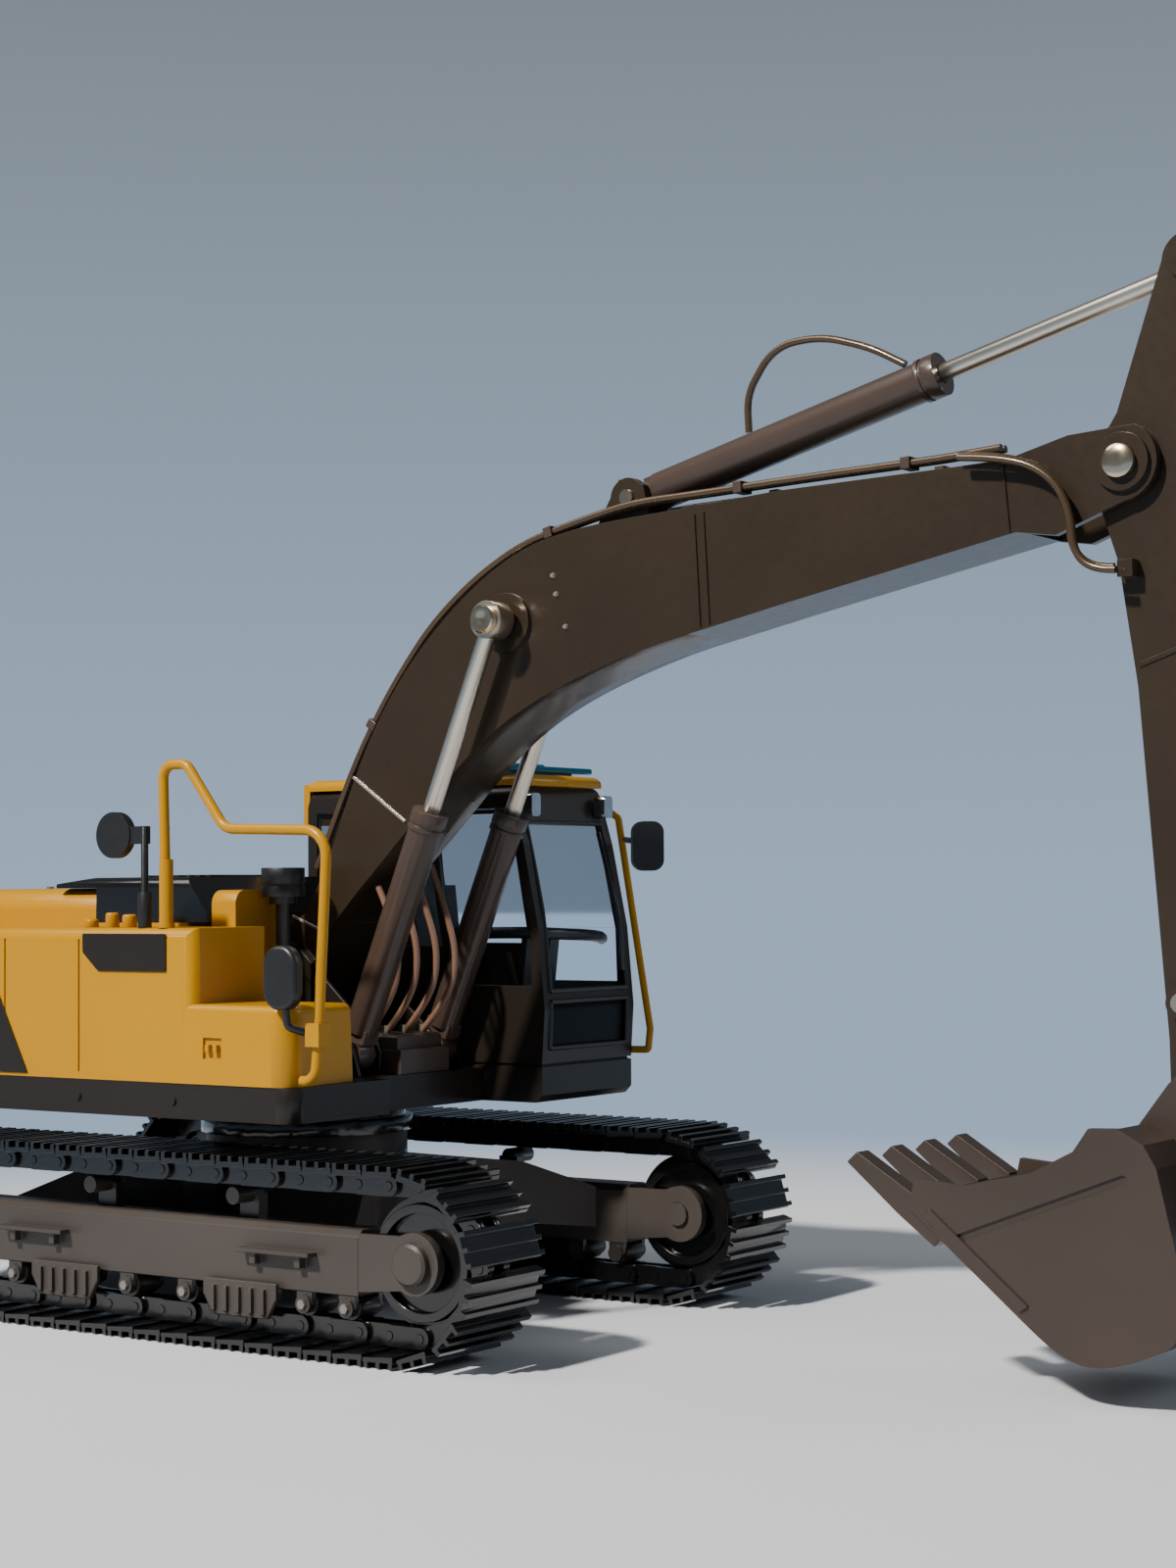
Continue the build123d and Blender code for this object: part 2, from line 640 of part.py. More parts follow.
with BuildPart() as round_mirror:
    with BuildSketch(level(cabinet_top + seat)):
        with Locations((mirror_post_x, rail_y)):
            Circle(0.75)
    extrude(amount=3.8)
    with BuildSketch(level(46.0)):
        with Locations((mirror_post_x, rail_y)):
            Circle(0.4)
    extrude(amount=7.4)
    add(brick(-5.0, mirror_post_x + 0.5, rail_y - 0.35, rail_y + 0.35, 51.6, 53.5))
    add(disc(rail_y + 0.5, (-6.0, 52.6), 2.5, 1.0))
write(round_mirror.part, "round_mirror")

with BuildPart() as front_mirror:
    with BuildSketch(side(-26.2)):
        with Locations((19.9, 37.6)):
            RectangleRounded(4.4, 6.6, 2.0)
    extrude(amount=1.3)
    fillet(front_mirror.edges().group_by(Axis.Y)[0], 0.5)
    add(tube([(19.9, -26.4, 35.2), (20.0, -26.2, 32.6), (21.4, -25.0, 32.0)], 0.4, 0.8))
write(front_mirror.part, "front_mirror")

# ---------------------------------------------------------------- hoses on the deck
manifold_top = 30.6
with BuildPart() as hose_manifold:
    add(brick(9.8, 17.2, -4.3, 4.3, deck_high + seat, manifold_top - 1.6))
    add(brick(10.6, 16.4, -3.9, 3.9, manifold_top - 1.6, manifold_top))
    chamfer(hose_manifold.edges().group_by(Axis.Z)[-1], 0.3)
write(hose_manifold.part, "hose_manifold")

hose_radius = 0.38
hoses = []
for y, x, bow in ((-3.2, 11.6, 4.6), (-1.1, 12.4, 4.8), (1.1, 13.2, 5.0), (3.2, 14.0, 5.2)):
    belly = 41.6 + 0.975 * (x + 1.6 - 6.8)
    route = [(x, y, manifold_top + 0.3), (x + bow * 0.75, y, 34.2), (x + bow, y, 38.6),
             (x + bow * 0.8, y, 43.0), (x + 1.6, y, belly - 1.0)]
    hoses.append(tube(route, hose_radius, largest_bends(route, 1.5)))
write_group(hoses, "deck_hoses")

# ---------------------------------------------------------------- cab
cab_mid = (cab_left + cab_right) / 2
with BuildPart() as cab_base:
    add(brick(cab_rear, cab_front, cab_right, cab_left, deck_low, cab_floor - 0.3))
    add(brick(cab_rear + 0.3, cab_front - 0.3, cab_right + 0.3, cab_left - 0.3,
              cab_floor - 0.3, cab_floor))
    chamfer(cab_base.edges().filter_by(Axis.Y).group_by(Axis.Z)[0].sort_by(Axis.X)[-1], 0.8)
write(cab_base.part, "cab_base")

cab_outline = [
    (cab_rear, cab_floor), (cab_front, cab_floor), (cab_front + 0.4, 33.0),
    (cab_front - 0.4, 42.0), (cab_front - 2.4, 51.5), (cab_front - 4.4, cab_top),
    (cab_rear + 0.6, cab_top), (cab_rear, cab_top - 2.0),
]
front_low = [(cab_right + 1.3, 28.6), (cab_left - 1.3, 28.6), (cab_left - 1.3, 33.8),
             (cab_right + 1.3, 33.8)]
front_high = [(cab_right + 1.3, 35.0), (cab_left - 1.3, 35.0), (cab_left - 1.5, 54.0),
              (cab_right + 1.5, 54.0)]
side_front = [(13.5, 35.6), (cab_front - 1.4, 35.6), (cab_front - 1.6, 42.0),
              (cab_front - 3.6, 51.0), (cab_front - 4.8, 55.6), (10.5, 55.6)]
side_rear = [(cab_rear + 1.4, 40.0), (12.0, 40.0), (9.2, 55.6), (cab_rear + 1.4, 55.6)]
rear_pane = [(cab_right + 1.4, 42.0), (cab_left - 1.4, 42.0), (cab_left - 1.4, 55.0),
             (cab_right + 1.4, 55.0)]
hatch = [(9.0, cab_right + 2.2), (19.6, cab_right + 2.2), (19.6, cab_left - 2.2),
         (9.0, cab_left - 2.2)]


def cab_block(inset):
    """The cab's closed form, drawn in by inset all round."""
    with BuildPart() as block:
        with BuildSketch(side(cab_left - inset)):
            with BuildLine():
                Polyline(*cab_outline, close=True)
            make_face()
            offset(amount=-inset, kind=Kind.INTERSECTION)
        extrude(amount=cab_left - cab_right - 2 * inset)
        if inset < cab_wall:
            fillet(block.edges().group_by(Axis.Z)[-1].filter_by(Axis.X), 1.2 - inset)
    return block.part


def cab_openings(ease):
    """Blocks that pass through every window opening, each smaller by ease all round."""
    cuts = []
    reach = 6.0
    for plane, points, amount in (
            (across(cab_front - reach), front_low, 2 * reach),
            (across(cab_front - reach - 1), front_high, 2 * reach),
            (across(cab_rear - 2), rear_pane, 4),
            (side(cab_left + 2), side_front, 4), (side(cab_right + 2), side_front, 4),
            (side(cab_left + 2), side_rear, 4), (side(cab_right + 2), side_rear, 4)):
        with BuildPart() as cut:
            with BuildSketch(plane):
                Polygon(*points, align=None)
                if ease:
                    offset(amount=-ease, kind=Kind.INTERSECTION)
            extrude(amount=amount)
        cuts.append(cut.part)
    return cuts


with BuildPart() as cab_shell:
    add(cab_block(0))
    add(cab_block(cab_wall), mode=Mode.SUBTRACT)
    for cut in cab_openings(0):
        add(cut, mode=Mode.SUBTRACT)
    with BuildSketch(level(cab_top - 3)):
        Polygon(*hatch, align=None)
    extrude(amount=6, mode=Mode.SUBTRACT)
write(cab_shell.part, "cab_shell")

with BuildPart() as glazing:
    add(cab_block(0.25))
    add(cab_block(0.25 + pane), mode=Mode.SUBTRACT)
panes = []
for cut in cab_openings(0.06):
    with BuildPart() as one_pane:
        add(glazing.part)
        add(cut, mode=Mode.INTERSECT)
    panes.append(one_pane.part)
write_group(panes, "cab_glass")

roof_plan = [(cab_rear + 0.2, cab_right - 0.1), (cab_front - 3.6, cab_right + 0.5),
             (cab_front - 2.6, cab_mid), (cab_front - 3.6, cab_left - 0.5),
             (cab_rear + 0.2, cab_left + 0.1)]
with BuildPart() as cab_roof:
    with BuildSketch(level(cab_top + seat)):
        Polygon(*roof_plan, align=None)
    extrude(amount=1.3)
    fillet(cab_roof.edges().group_by(Axis.Z)[-1], 0.9)
    with BuildSketch(level(cab_top)):
        Polygon(*hatch, align=None)
    extrude(amount=3, mode=Mode.SUBTRACT)
    with BuildSketch(level(cab_top - 4)):
        Polygon((cab_rear - 1.0, cab_right + 0.4), (cab_rear - seat, cab_right + 0.4),
                (cab_rear - seat, cab_left - 0.4), (cab_rear - 1.0, cab_left - 0.4), align=None)
    extrude(amount=4.9)
    add(brick(cab_rear - 0.5, cab_rear + 1.0, cab_right + 0.4, cab_left - 0.4,
              cab_top + seat, cab_top + 0.9))
write(cab_roof.part, "cab_roof")

with BuildPart() as roof_hatch:
    with BuildSketch(level(cab_top - 0.5)):
        Polygon(*hatch, align=None)
        offset(amount=-0.1, kind=Kind.INTERSECTION)
    extrude(amount=2.2)
    with BuildSketch(level(cab_top + 1.7)):
        Polygon(*hatch, align=None)
        offset(amount=1.6, kind=Kind.INTERSECTION)
    extrude(amount=0.7)
    with BuildSketch(level(cab_top + 2.4)):
        Polygon(*hatch, align=None)
        offset(amount=-2.4, kind=Kind.INTERSECTION)
    extrude(amount=0.5)
    with BuildSketch(level(cab_top - 0.5)):
        Polygon(*hatch, align=None)
        offset(amount=-0.9, kind=Kind.INTERSECTION)
    extrude(amount=1.7, mode=Mode.SUBTRACT)
write(roof_hatch.part, "roof_hatch")

lamps = []
for y in (cab_right + 1.7, cab_left - 1.7):
    with BuildPart() as lamp:
        with BuildSketch(across(cab_front - 3.3)):
            with Locations((y, cab_top - 2.2)):
                RectangleRounded(1.7, 2.6, 0.5)
        extrude(amount=1.5)
    lamps.append(lamp.part)
write_group(lamps, "work_lights")

wiper_foot = (cab_front + 0.2, cab_left - 2.0, 37.0)
write(tube([wiper_foot, (cab_front - 0.2, cab_left - 2.1, 43.0),
            (cab_front - 2.4, cab_left - 3.0, 53.0)], 0.28, 2.0), "wiper")

cab_rail_y = cab_left + 1.2
write(tube([(cab_front - 1.2, cab_left + 0.4, 27.6), (cab_front + 1.6, cab_rail_y, 27.6),
            (cab_front + 1.9, cab_rail_y, 30.0), (cab_front - 2.4, cab_rail_y, 54.8),
            (cab_front - 4.4, cab_left + 0.4, 56.2)],
           0.42, [0.35, 0.7, 0.7]), "cab_handrail")

mirror_middle = (cab_front + 2.0, cab_left + 0.75, 51.4)
with BuildPart() as cab_mirror:
    with BuildSketch(Plane(origin=(slew_x + mirror_middle[0], mirror_middle[1], mirror_middle[2]),
                           x_dir=(0.7, 0.7, 0), z_dir=(0.7, -0.7, 0))):
        RectangleRounded(3.7, 5.8, 1.3)
    extrude(amount=0.7, both=True)
    add(tube([(cab_front - 1.1, cab_rail_y - 0.75, 52.2),
              (cab_front + 0.4, cab_rail_y - 0.9, 52.0),
              (cab_front + 1.4, cab_left + 0.3, 51.8)], 0.35, 0.4))
write(cab_mirror.part, "cab_mirror")

inside_floor = cab_floor + cab_wall + seat
with BuildPart() as seat_piece:
    add(brick(2.0, 9.0, cab_mid - 3.6, cab_mid + 3.6, inside_floor, 31.0))
    add(brick(2.4, 11.5, cab_mid - 4.4, cab_mid + 4.4, 31.0, 34.4))
    add(prism(side(cab_mid + 4.0), [(2.4, 34.4), (5.4, 34.4), (4.0, 47.0), (1.0, 47.0)], 8.0))
    add(prism(side(cab_mid + 2.4), [(1.0, 47.0), (3.6, 47.0), (3.2, 51.4), (0.8, 51.4)], 4.8))
    fillet(seat_piece.edges().filter_by(Axis.Y).group_by(Axis.Z)[-1], 0.8)
write(seat_piece.part, "seat")

controls = []
for hand in (1, -1):
    with BuildPart() as console:
        y = cab_mid + hand * 6.3
        add(brick(1.0, 14.0, y - 1.3, y + 1.3, inside_floor, 34.2))
        add(prism(side(y + 0.35), [(12.0, 34.2), (13.0, 34.2), (13.8, 39.4), (12.8, 39.4)], 0.7))
        add(brick(12.5, 14.1, y - 0.6, y + 0.6, 39.4, 40.8))
    controls.append(console.part)
with BuildPart() as pedals:
    for y in (cab_mid - 2.2, cab_mid + 2.2):
        add(prism(side(y + 0.9), [(17.5, inside_floor), (18.3, inside_floor),
                                  (19.9, 41.0), (19.1, 41.0)], 1.8))
controls += pedals.part.solids()
write_group(controls, "consoles")

# ---------------------------------------------------------------- boom
fork_half = arm_half + gap
fork_back = 92.5
lift_boss = 3.1
crowd_lug_in, crowd_lug_out = eye_half + gap, eye_half + gap + 1.0
crowd_pin_radius = 0.8
arm_pin_radius = 1.5
with BuildPart() as boom:
    with BuildSketch(side(boom_half)):
        with BuildLine():
            top = Spline((3.4, 43.6), (11.4, 59.6), (20.9, 73.2), (31.5, 81.2), (44.0, 84.4),
                         tangents=((0.62, 0.78), (1.0, 0.1)))
            Polyline(top @ 1, (66.0, 85.9), (90.5, 86.5), (97.0, 88.2), (103.6, 88.6))
            ThreePointArc((103.6, 88.6), (105.6, 84.2), (102.6, 81.6))
            Polyline((102.6, 81.6), (95.6, 79.0), (91.6, 79.6), (66.0, 74.5), (55.0, 72.2))
            bottom = Spline((55.0, 72.2), (42.9, 69.0), (30.2, 63.2), (18.7, 53.2), (6.8, 41.6),
                            tangents=((-1.0, -0.19), (-0.68, -0.73)))
            Line(bottom @ 1, top @ 0)
        make_face()
    extrude(amount=2 * boom_half)
    with BuildSketch(side(boom_half)):
        Polygon((foot_pivot[0] - 2.2, foot_pivot[1] + 2.7), (foot_pivot[0] + 2.6,
                foot_pivot[1] - 2.3), (8.0, 42.8), (3.3, 43.7), align=None)
    extrude(amount=2 * boom_half)
    add(disc(boom_half, foot_pivot, 3.5, 2 * boom_half))
    add(disc(boom_half, arm_pivot, 3.3, 2 * boom_half))
    add(brick(fork_back, 110, -fork_half, fork_half, 70, 95), mode=Mode.SUBTRACT)
    for y in (boom_half + 0.5, -boom_half):
        add(disc(y, lift_eye, lift_boss, 0.5))
        add(disc(y, arm_pivot, 2.7, 0.5))
    for y in (crowd_lug_out, -crowd_lug_in):
        add(prism(side(y), [(crowd_base[0] - 4.6, 83.2), (crowd_base[0] + 3.2, 83.2),
                            (crowd_base[0] + 2.0, crowd_base[1] + 1.2),
                            (crowd_base[0] - 1.0, crowd_base[1] + 2.0)], 1.0))
        add(disc(y, crowd_base, 2.1, 1.0))
    add(disc(boom_half, foot_pivot, foot_pin_radius + running, 2 * boom_half), mode=Mode.SUBTRACT)
    add(disc(boom_half + 1, arm_pivot, arm_pin_radius + seat, 2 * boom_half + 2),
        mode=Mode.SUBTRACT)
    add(disc(boom_half, crowd_base, crowd_pin_radius + seat, 2 * boom_half), mode=Mode.SUBTRACT)
write(boom.part, "boom")

pins = [disc(boom_half + 1.0, arm_pivot, arm_pin_radius, 2 * boom_half + 2.0),
        disc(crowd_lug_out + 0.3, crowd_base, crowd_pin_radius, 2 * crowd_lug_out + 0.6)]
write_group(pins, "boom_pins")

hose_lines = []
boom_route = [(5.2, 49.0), (11.0, 61.0), (15.8, 68.4), (21.4, 75.1), (27.4, 79.8), (34.0, 83.2),
              (41.0, 84.9), (48.0, 86.3), (56.0, 86.5), (66.0, 86.9)]
boom_run = [(76.0, 87.2), (84.0, 87.4), (90.0, 87.8)]
for y in (-4.1, -3.1, 3.1, 4.1):
    route = [(x, y, z) for x, z in boom_route + boom_run]
    hose_lines.append(tube(route, hose_radius, largest_bends(route, 3.0)))
write_group(hose_lines, "boom_hoses")

clamps = []
runs = boom_route + boom_run
for n in (1, 5, 8, 10):
    near, far = runs[n], runs[n + 1]
    middle = ((near[0] + far[0]) / 2, (near[1] + far[1]) / 2)
    for hand in (1, -1):
        with BuildPart() as clamp:
            with BuildSketch(tilted(middle, hand * 3.6, bearing(near, far)).offset(-0.5)):
                with Locations((0, 0)):
                    Rectangle(2.2, 1.2)
                    Rectangle(1.9, 0.85, mode=Mode.SUBTRACT)
            extrude(amount=1.0)
        clamps.append(clamp.part)
write_group(clamps, "hose_clamps")

tip_route = [(86.0, 87.3), (91.5, 86.8), (95.6, 84.6), (97.4, 81.2), (97.6, 77.4), (99.6, 75.6),
             (101.8, 75.5)]
port = (102.6, 75.4)
tip_hoses = []
for out, shift in ((0.75, 0.0), (1.65, 0.9)):
    route = [(x + shift * 0.6, -boom_half - out, z - shift * 0.4) for x, z in tip_route]
    tip_hoses.append(tube(route, hose_radius, largest_bends(route, 1.0)))
write_group(tip_hoses, "tip_hoses")

# ---------------------------------------------------------------- cylinders
def barrel(start, end, y, length, radius, bore, pin):
    """A cylinder's tube with its eye at start, pointing at end."""
    angle = bearing(start, end)
    with BuildPart() as piece:
        add(disc(y + eye_half, start, pin + 1.1, 2 * eye_half))
        with BuildSketch(tilted(start, y, angle).offset(pin + 0.9)):
            Rectangle(2 * eye_half, 2 * pin + 1.6)
        extrude(amount=1.6)
        with BuildSketch(tilted(start, y, angle).offset(2.7)):
            Circle(radius)
        extrude(amount=length - 2.7)
        with BuildSketch(tilted(start, y, angle).offset(length - 2.2)):
            Circle(radius + 0.2)
        extrude(amount=2.2)
        with BuildSketch(tilted(start, y, angle).offset(length - 1.7)):
            Circle(radius + 0.21)
            Circle(radius + 0.05, mode=Mode.SUBTRACT)
        extrude(amount=0.3, mode=Mode.SUBTRACT)
        with BuildSketch(tilted(start, y, angle).offset(3.4)):
            Circle(bore)
        extrude(amount=length, mode=Mode.SUBTRACT)
        add(disc(y + 2, start, pin + running, 4), mode=Mode.SUBTRACT)
    return piece.part


def rod(start, end, y, length, radius, eye_radius):
    """A cylinder's rod with its eye at end, reaching back towards start."""
    angle = bearing(end, start)
    with BuildPart() as piece:
        with BuildSketch(tilted(end, y, angle)):
            Circle(radius)
        extrude(amount=length)
        add(disc(y + eye_half, end, eye_radius, 2 * eye_half))
    return piece.part


lift_barrel, lift_rod = 28.4, 31.8
barrels = []
rods = []
for y in (lift_side, -lift_side):
    barrels.append(barrel(lift_base, lift_eye, y, lift_barrel, 1.8, rod_radius + running,
                          lift_pin_radius))
    with BuildPart() as lift_rod_piece:
        add(rod(lift_base, lift_eye, y, lift_rod, rod_radius, 2.0))
        add(disc(y + eye_half + 0.5, lift_eye, 1.45, 2 * eye_half + 1.0))
    rods.append(lift_rod_piece.part)
write_group(barrels, "boom_cylinders")
write_group(rods, "boom_rods")

crowd_barrel, crowd_rod = 36.8, 36.6
write(barrel(crowd_base, crowd_eye, 0, crowd_barrel, 2.0, rod_radius + running,
             crowd_pin_radius), "arm_cylinder")
write(rod(crowd_base, crowd_eye, 0, crowd_rod, rod_radius, 2.1), "arm_rod")

crowd_angle = radians(bearing(crowd_base, crowd_eye))


def on_crowd(along, off):
    """A point beside the arm cylinder: this far from its lower pin, and this far above its axis."""
    return (crowd_base[0] + along * cos(crowd_angle) - off * sin(crowd_angle), 0,
            crowd_base[1] + along * sin(crowd_angle) + off * cos(crowd_angle))


loop = [on_crowd(14.5, 2.15), on_crowd(15.3, 6.0), on_crowd(19.5, 9.6), on_crowd(25.0, 8.6),
        on_crowd(30.0, 5.4), on_crowd(33.2, 2.35)]
write(tube(loop, hose_radius, largest_bends(loop, 1.5)), "cylinder_hose")

# ---------------------------------------------------------------- arm
curl_lug_in, curl_lug_out = eye_half + gap, eye_half + gap + 0.9
curl_pin_radius = 0.8
slot_half = eye_half + gap
bucket_pin_radius = 1.1
rocker_pin_radius = 0.9
arm_outline = [
    (crowd_eye[0] - 2.3, crowd_eye[1] + 1.0), (101.4, 90.0), (arm_pivot[0] - 3.6, 86.0),
    (arm_pivot[0] - 3.2, 82.8), (101.4, 76.0), (103.1, 64.6), (105.6, 32.5),
    (bucket_pivot[0] - 2.3, bucket_pivot[1]), (bucket_pivot[0] + 2.3, bucket_pivot[1]),
    (rocker_pivot[0] + 2.6, rocker_pivot[1]), (110.4, 44.0), (110.9, 62.0), (111.6, 74.0),
    (112.4, 86.0), (crowd_eye[0] + 2.6, crowd_eye[1]), (crowd_eye[0] + 1.2, crowd_eye[1] + 2.3),
]
way_back = bearing(crowd_eye, crowd_base)
slot_far = 14
with BuildPart() as arm:
    add(prism(side(arm_half), arm_outline, 2 * arm_half))
    add(disc(arm_half, arm_pivot, 4.0, 2 * arm_half))
    add(disc(arm_half, bucket_pivot, 2.4, 2 * arm_half))
    add(disc(arm_half, crowd_eye, 2.6, 2 * arm_half))
    with BuildSketch(side(slot_half)):
        with Locations(crowd_eye):
            Circle(6.9)
        Polygon(crowd_eye,
                (crowd_eye[0] + slot_far * cos(radians(way_back + 18)),
                 crowd_eye[1] + slot_far * sin(radians(way_back + 18))),
                (crowd_eye[0] - slot_far, crowd_eye[1] + slot_far),
                (crowd_eye[0] + 1, crowd_eye[1] + slot_far), align=None)
    extrude(amount=2 * slot_half, mode=Mode.SUBTRACT)
    for y in (curl_lug_out, -curl_lug_in):
        add(prism(side(y), [(111.6, 92.0), (111.6, 81.6), (curl_base[0] + 1.4, curl_base[1] - 1.4),
                            (curl_base[0] + 1.2, curl_base[1] + 1.8)], 0.9))
        add(disc(y, curl_base, 2.0, 0.9))
    add(brick(112.4, 120, -slot_half, slot_half, 81.6, 92), mode=Mode.SUBTRACT)
    for y in (arm_half + 0.4, -arm_half):
        add(disc(y, crowd_eye, 1.9, 0.4))
    add(brick(101.9, 103.4, -arm_half - 1.6, -arm_half, 74.6, 76.2))
    add(disc(arm_half, arm_pivot, arm_pin_radius + running, 2 * arm_half), mode=Mode.SUBTRACT)
    for middle, radius in ((bucket_pivot, bucket_pin_radius), (rocker_pivot, rocker_pin_radius),
                           (curl_base, curl_pin_radius)):
        add(disc(arm_half + 1, middle, radius + seat, 2 * arm_half + 2), mode=Mode.SUBTRACT)
write(arm.part, "arm")

ear_gap = arm_half + gap
rocker_out = ear_gap + 0.8
arm_pins = [disc(ear_gap + 1.3, bucket_pivot, bucket_pin_radius, 2 * ear_gap + 2.6),
            disc(rocker_out + 0.3, rocker_pivot, rocker_pin_radius, 2 * rocker_out + 0.6),
            disc(curl_lug_out + 0.3, curl_base, curl_pin_radius, 2 * curl_lug_out + 0.6)]
write_group(arm_pins, "arm_pins")

# ---------------------------------------------------------------- bucket linkage
curl_barrel, curl_rod = 33.2, 34.6
write(barrel(curl_base, link_joint, 0, curl_barrel, 1.7, rod_radius + running - 0.1,
             curl_pin_radius), "bucket_cylinder")
with BuildPart() as curl_rod_piece:
    add(rod(curl_base, link_joint, 0, curl_rod, rod_radius - 0.1, 1.6))
write(curl_rod_piece.part, "bucket_rod")

rocker_angle = bearing(rocker_pivot, link_joint)
stub_in = eye_half + gap
rockers = []
for hand in (1, -1):
    near, far = (rocker_out, ear_gap) if hand > 0 else (-ear_gap, -rocker_out)
    with BuildPart() as rocker:
        with BuildSketch(side(near)):
            with Locations(((rocker_pivot[0] + link_joint[0]) / 2,
                            (rocker_pivot[1] + link_joint[1]) / 2)):
                SlotCenterToCenter(rocker_length, 3.0, rotation=rocker_angle)
        extrude(amount=near - far)
        add(disc(rocker_out + 0.3 if hand > 0 else -stub_in, link_joint, 0.8,
                 rocker_out + 0.3 - stub_in))
        add(disc(rocker_out + 1, rocker_pivot, rocker_pin_radius + running, 2 * rocker_out + 2),
            mode=Mode.SUBTRACT)
    rockers.append(rocker.part)
write_group(rockers, "rockers")

link_angle = bearing(link_joint, bucket_ear)
link_half = arm_half - 0.1
with BuildPart() as bucket_link:
    with BuildSketch(side(link_half)):
        with Locations(((link_joint[0] + bucket_ear[0]) / 2, (link_joint[1] + bucket_ear[1]) / 2)):
            SlotCenterToCenter(link_length, 2 * link_boss - 0.6, rotation=link_angle)
    extrude(amount=2 * link_half)
    add(disc(slot_half, link_joint, 4.2, 2 * slot_half), mode=Mode.SUBTRACT)
    add(disc(link_half, link_joint, 0.8 + running, 2 * link_half), mode=Mode.SUBTRACT)
write(bucket_link.part, "bucket_link")

# ---------------------------------------------------------------- bucket
bucket_outer = [(83.15, 16.67), (95.2, 6.7)]
back_foot, back_top = (110.2, 10.5), (107.6, 21.6)
with BuildPart() as bucket:
    with BuildSketch(side(bucket_half)):
        with BuildLine():
            Line(bucket_outer[0], bucket_outer[1])
            Spline(bucket_outer[1], (101.5, 3.7), (107.4, 5.4), back_foot,
                   tangents=((0.77, -0.64), (0.1, 1.0)))
            Polyline(back_foot, back_top, (106.4, 23.6), (104.0, 24.9), (101.2, 24.8),
                     (99.7, 22.7), (95.4, 20.5), (88.5, 19.0), (83.8, 19.4), bucket_outer[0])
        make_face()
    extrude(amount=2 * bucket_half)
    with BuildSketch(side(bucket_half - bucket_wall)):
        with BuildLine():
            Line((83.0, 18.2), (95.8, 7.55))
            Spline((95.8, 7.55), (101.4, 4.75), (106.7, 6.2), (109.2, 10.6),
                   tangents=((0.77, -0.64), (0.1, 1.0)))
            Polyline((109.2, 10.6), (106.7, 21.2), (105.6, 22.9), (104.0, 23.9), (103.4, 30.0),
                     (78.0, 30.0), (83.0, 18.2))
        make_face()
    extrude(amount=2 * (bucket_half - bucket_wall), mode=Mode.SUBTRACT)
    for y in (ear_gap + 1.0, -ear_gap):
        add(prism(side(y), [(102.4, 23.9), (bucket_pivot[0] - 2.0, bucket_pivot[1] + 1.4),
                            (bucket_pivot[0] + 1.6, bucket_pivot[1] + 1.8),
                            (bucket_ear[0] + 2.0, bucket_ear[1]), (bucket_ear[0] + 0.6, 16.4),
                            (108.9, 13.4), (107.0, 21.4), (105.8, 23.3)], 1.0))
        add(disc(y, bucket_pivot, 2.4, 1.0))
        add(disc(y, bucket_ear, 2.0, 1.0))
        add(disc(y + (0.3 if y > 0 else 0), bucket_ear, 1.1, 1.3))
    add(disc(ear_gap + 2, bucket_pivot, bucket_pin_radius + running, 2 * ear_gap + 4),
        mode=Mode.SUBTRACT)
    ridge = ((88.0, 14.1), (104.8, 20.6))
    way = bearing(*ridge)
    for y in (bucket_half + 0.5, -bucket_half + 0.25):
        with BuildSketch(side(y)):
            with Locations(((ridge[0][0] + ridge[1][0]) / 2, (ridge[0][1] + ridge[1][1]) / 2)):
                SlotOverall(distance(*ridge), 0.8, rotation=way)
        extrude(amount=0.75, mode=Mode.SUBTRACT)
write(bucket.part, "bucket")

tooth_outline = [(76.5, 20.6), (82.4, 15.6), (85.6, 13.2), (86.33, 13.98), (83.1, 16.66),
                 (83.42, 18.02), (77.6, 21.6)]
tooth_ys = (-10.2, -3.4, 3.4, 10.2)
write_group([prism(side(y + 1.1), tooth_outline, 2.2) for y in tooth_ys], "bucket_teeth")
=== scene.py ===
import json
from math import cos, pi, radians, sin

import bmesh
import bpy
from mathutils import Matrix, Vector


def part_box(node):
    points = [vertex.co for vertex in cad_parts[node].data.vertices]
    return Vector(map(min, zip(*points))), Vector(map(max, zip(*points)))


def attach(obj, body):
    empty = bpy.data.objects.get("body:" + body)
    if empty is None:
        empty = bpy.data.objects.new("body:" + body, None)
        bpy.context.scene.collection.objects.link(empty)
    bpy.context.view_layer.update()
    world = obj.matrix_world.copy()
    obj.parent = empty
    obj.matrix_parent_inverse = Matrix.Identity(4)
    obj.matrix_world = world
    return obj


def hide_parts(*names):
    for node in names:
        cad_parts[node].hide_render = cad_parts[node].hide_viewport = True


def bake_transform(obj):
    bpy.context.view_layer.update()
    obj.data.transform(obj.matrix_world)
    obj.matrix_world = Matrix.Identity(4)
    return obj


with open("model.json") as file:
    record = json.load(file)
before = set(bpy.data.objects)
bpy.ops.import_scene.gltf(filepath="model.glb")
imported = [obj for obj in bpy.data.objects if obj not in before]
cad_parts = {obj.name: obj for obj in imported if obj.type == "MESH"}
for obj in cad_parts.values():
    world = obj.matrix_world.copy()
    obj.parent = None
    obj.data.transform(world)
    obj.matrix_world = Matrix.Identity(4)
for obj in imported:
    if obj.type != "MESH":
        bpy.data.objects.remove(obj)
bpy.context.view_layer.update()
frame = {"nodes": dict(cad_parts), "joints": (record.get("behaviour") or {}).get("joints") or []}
nodes = frame["nodes"]

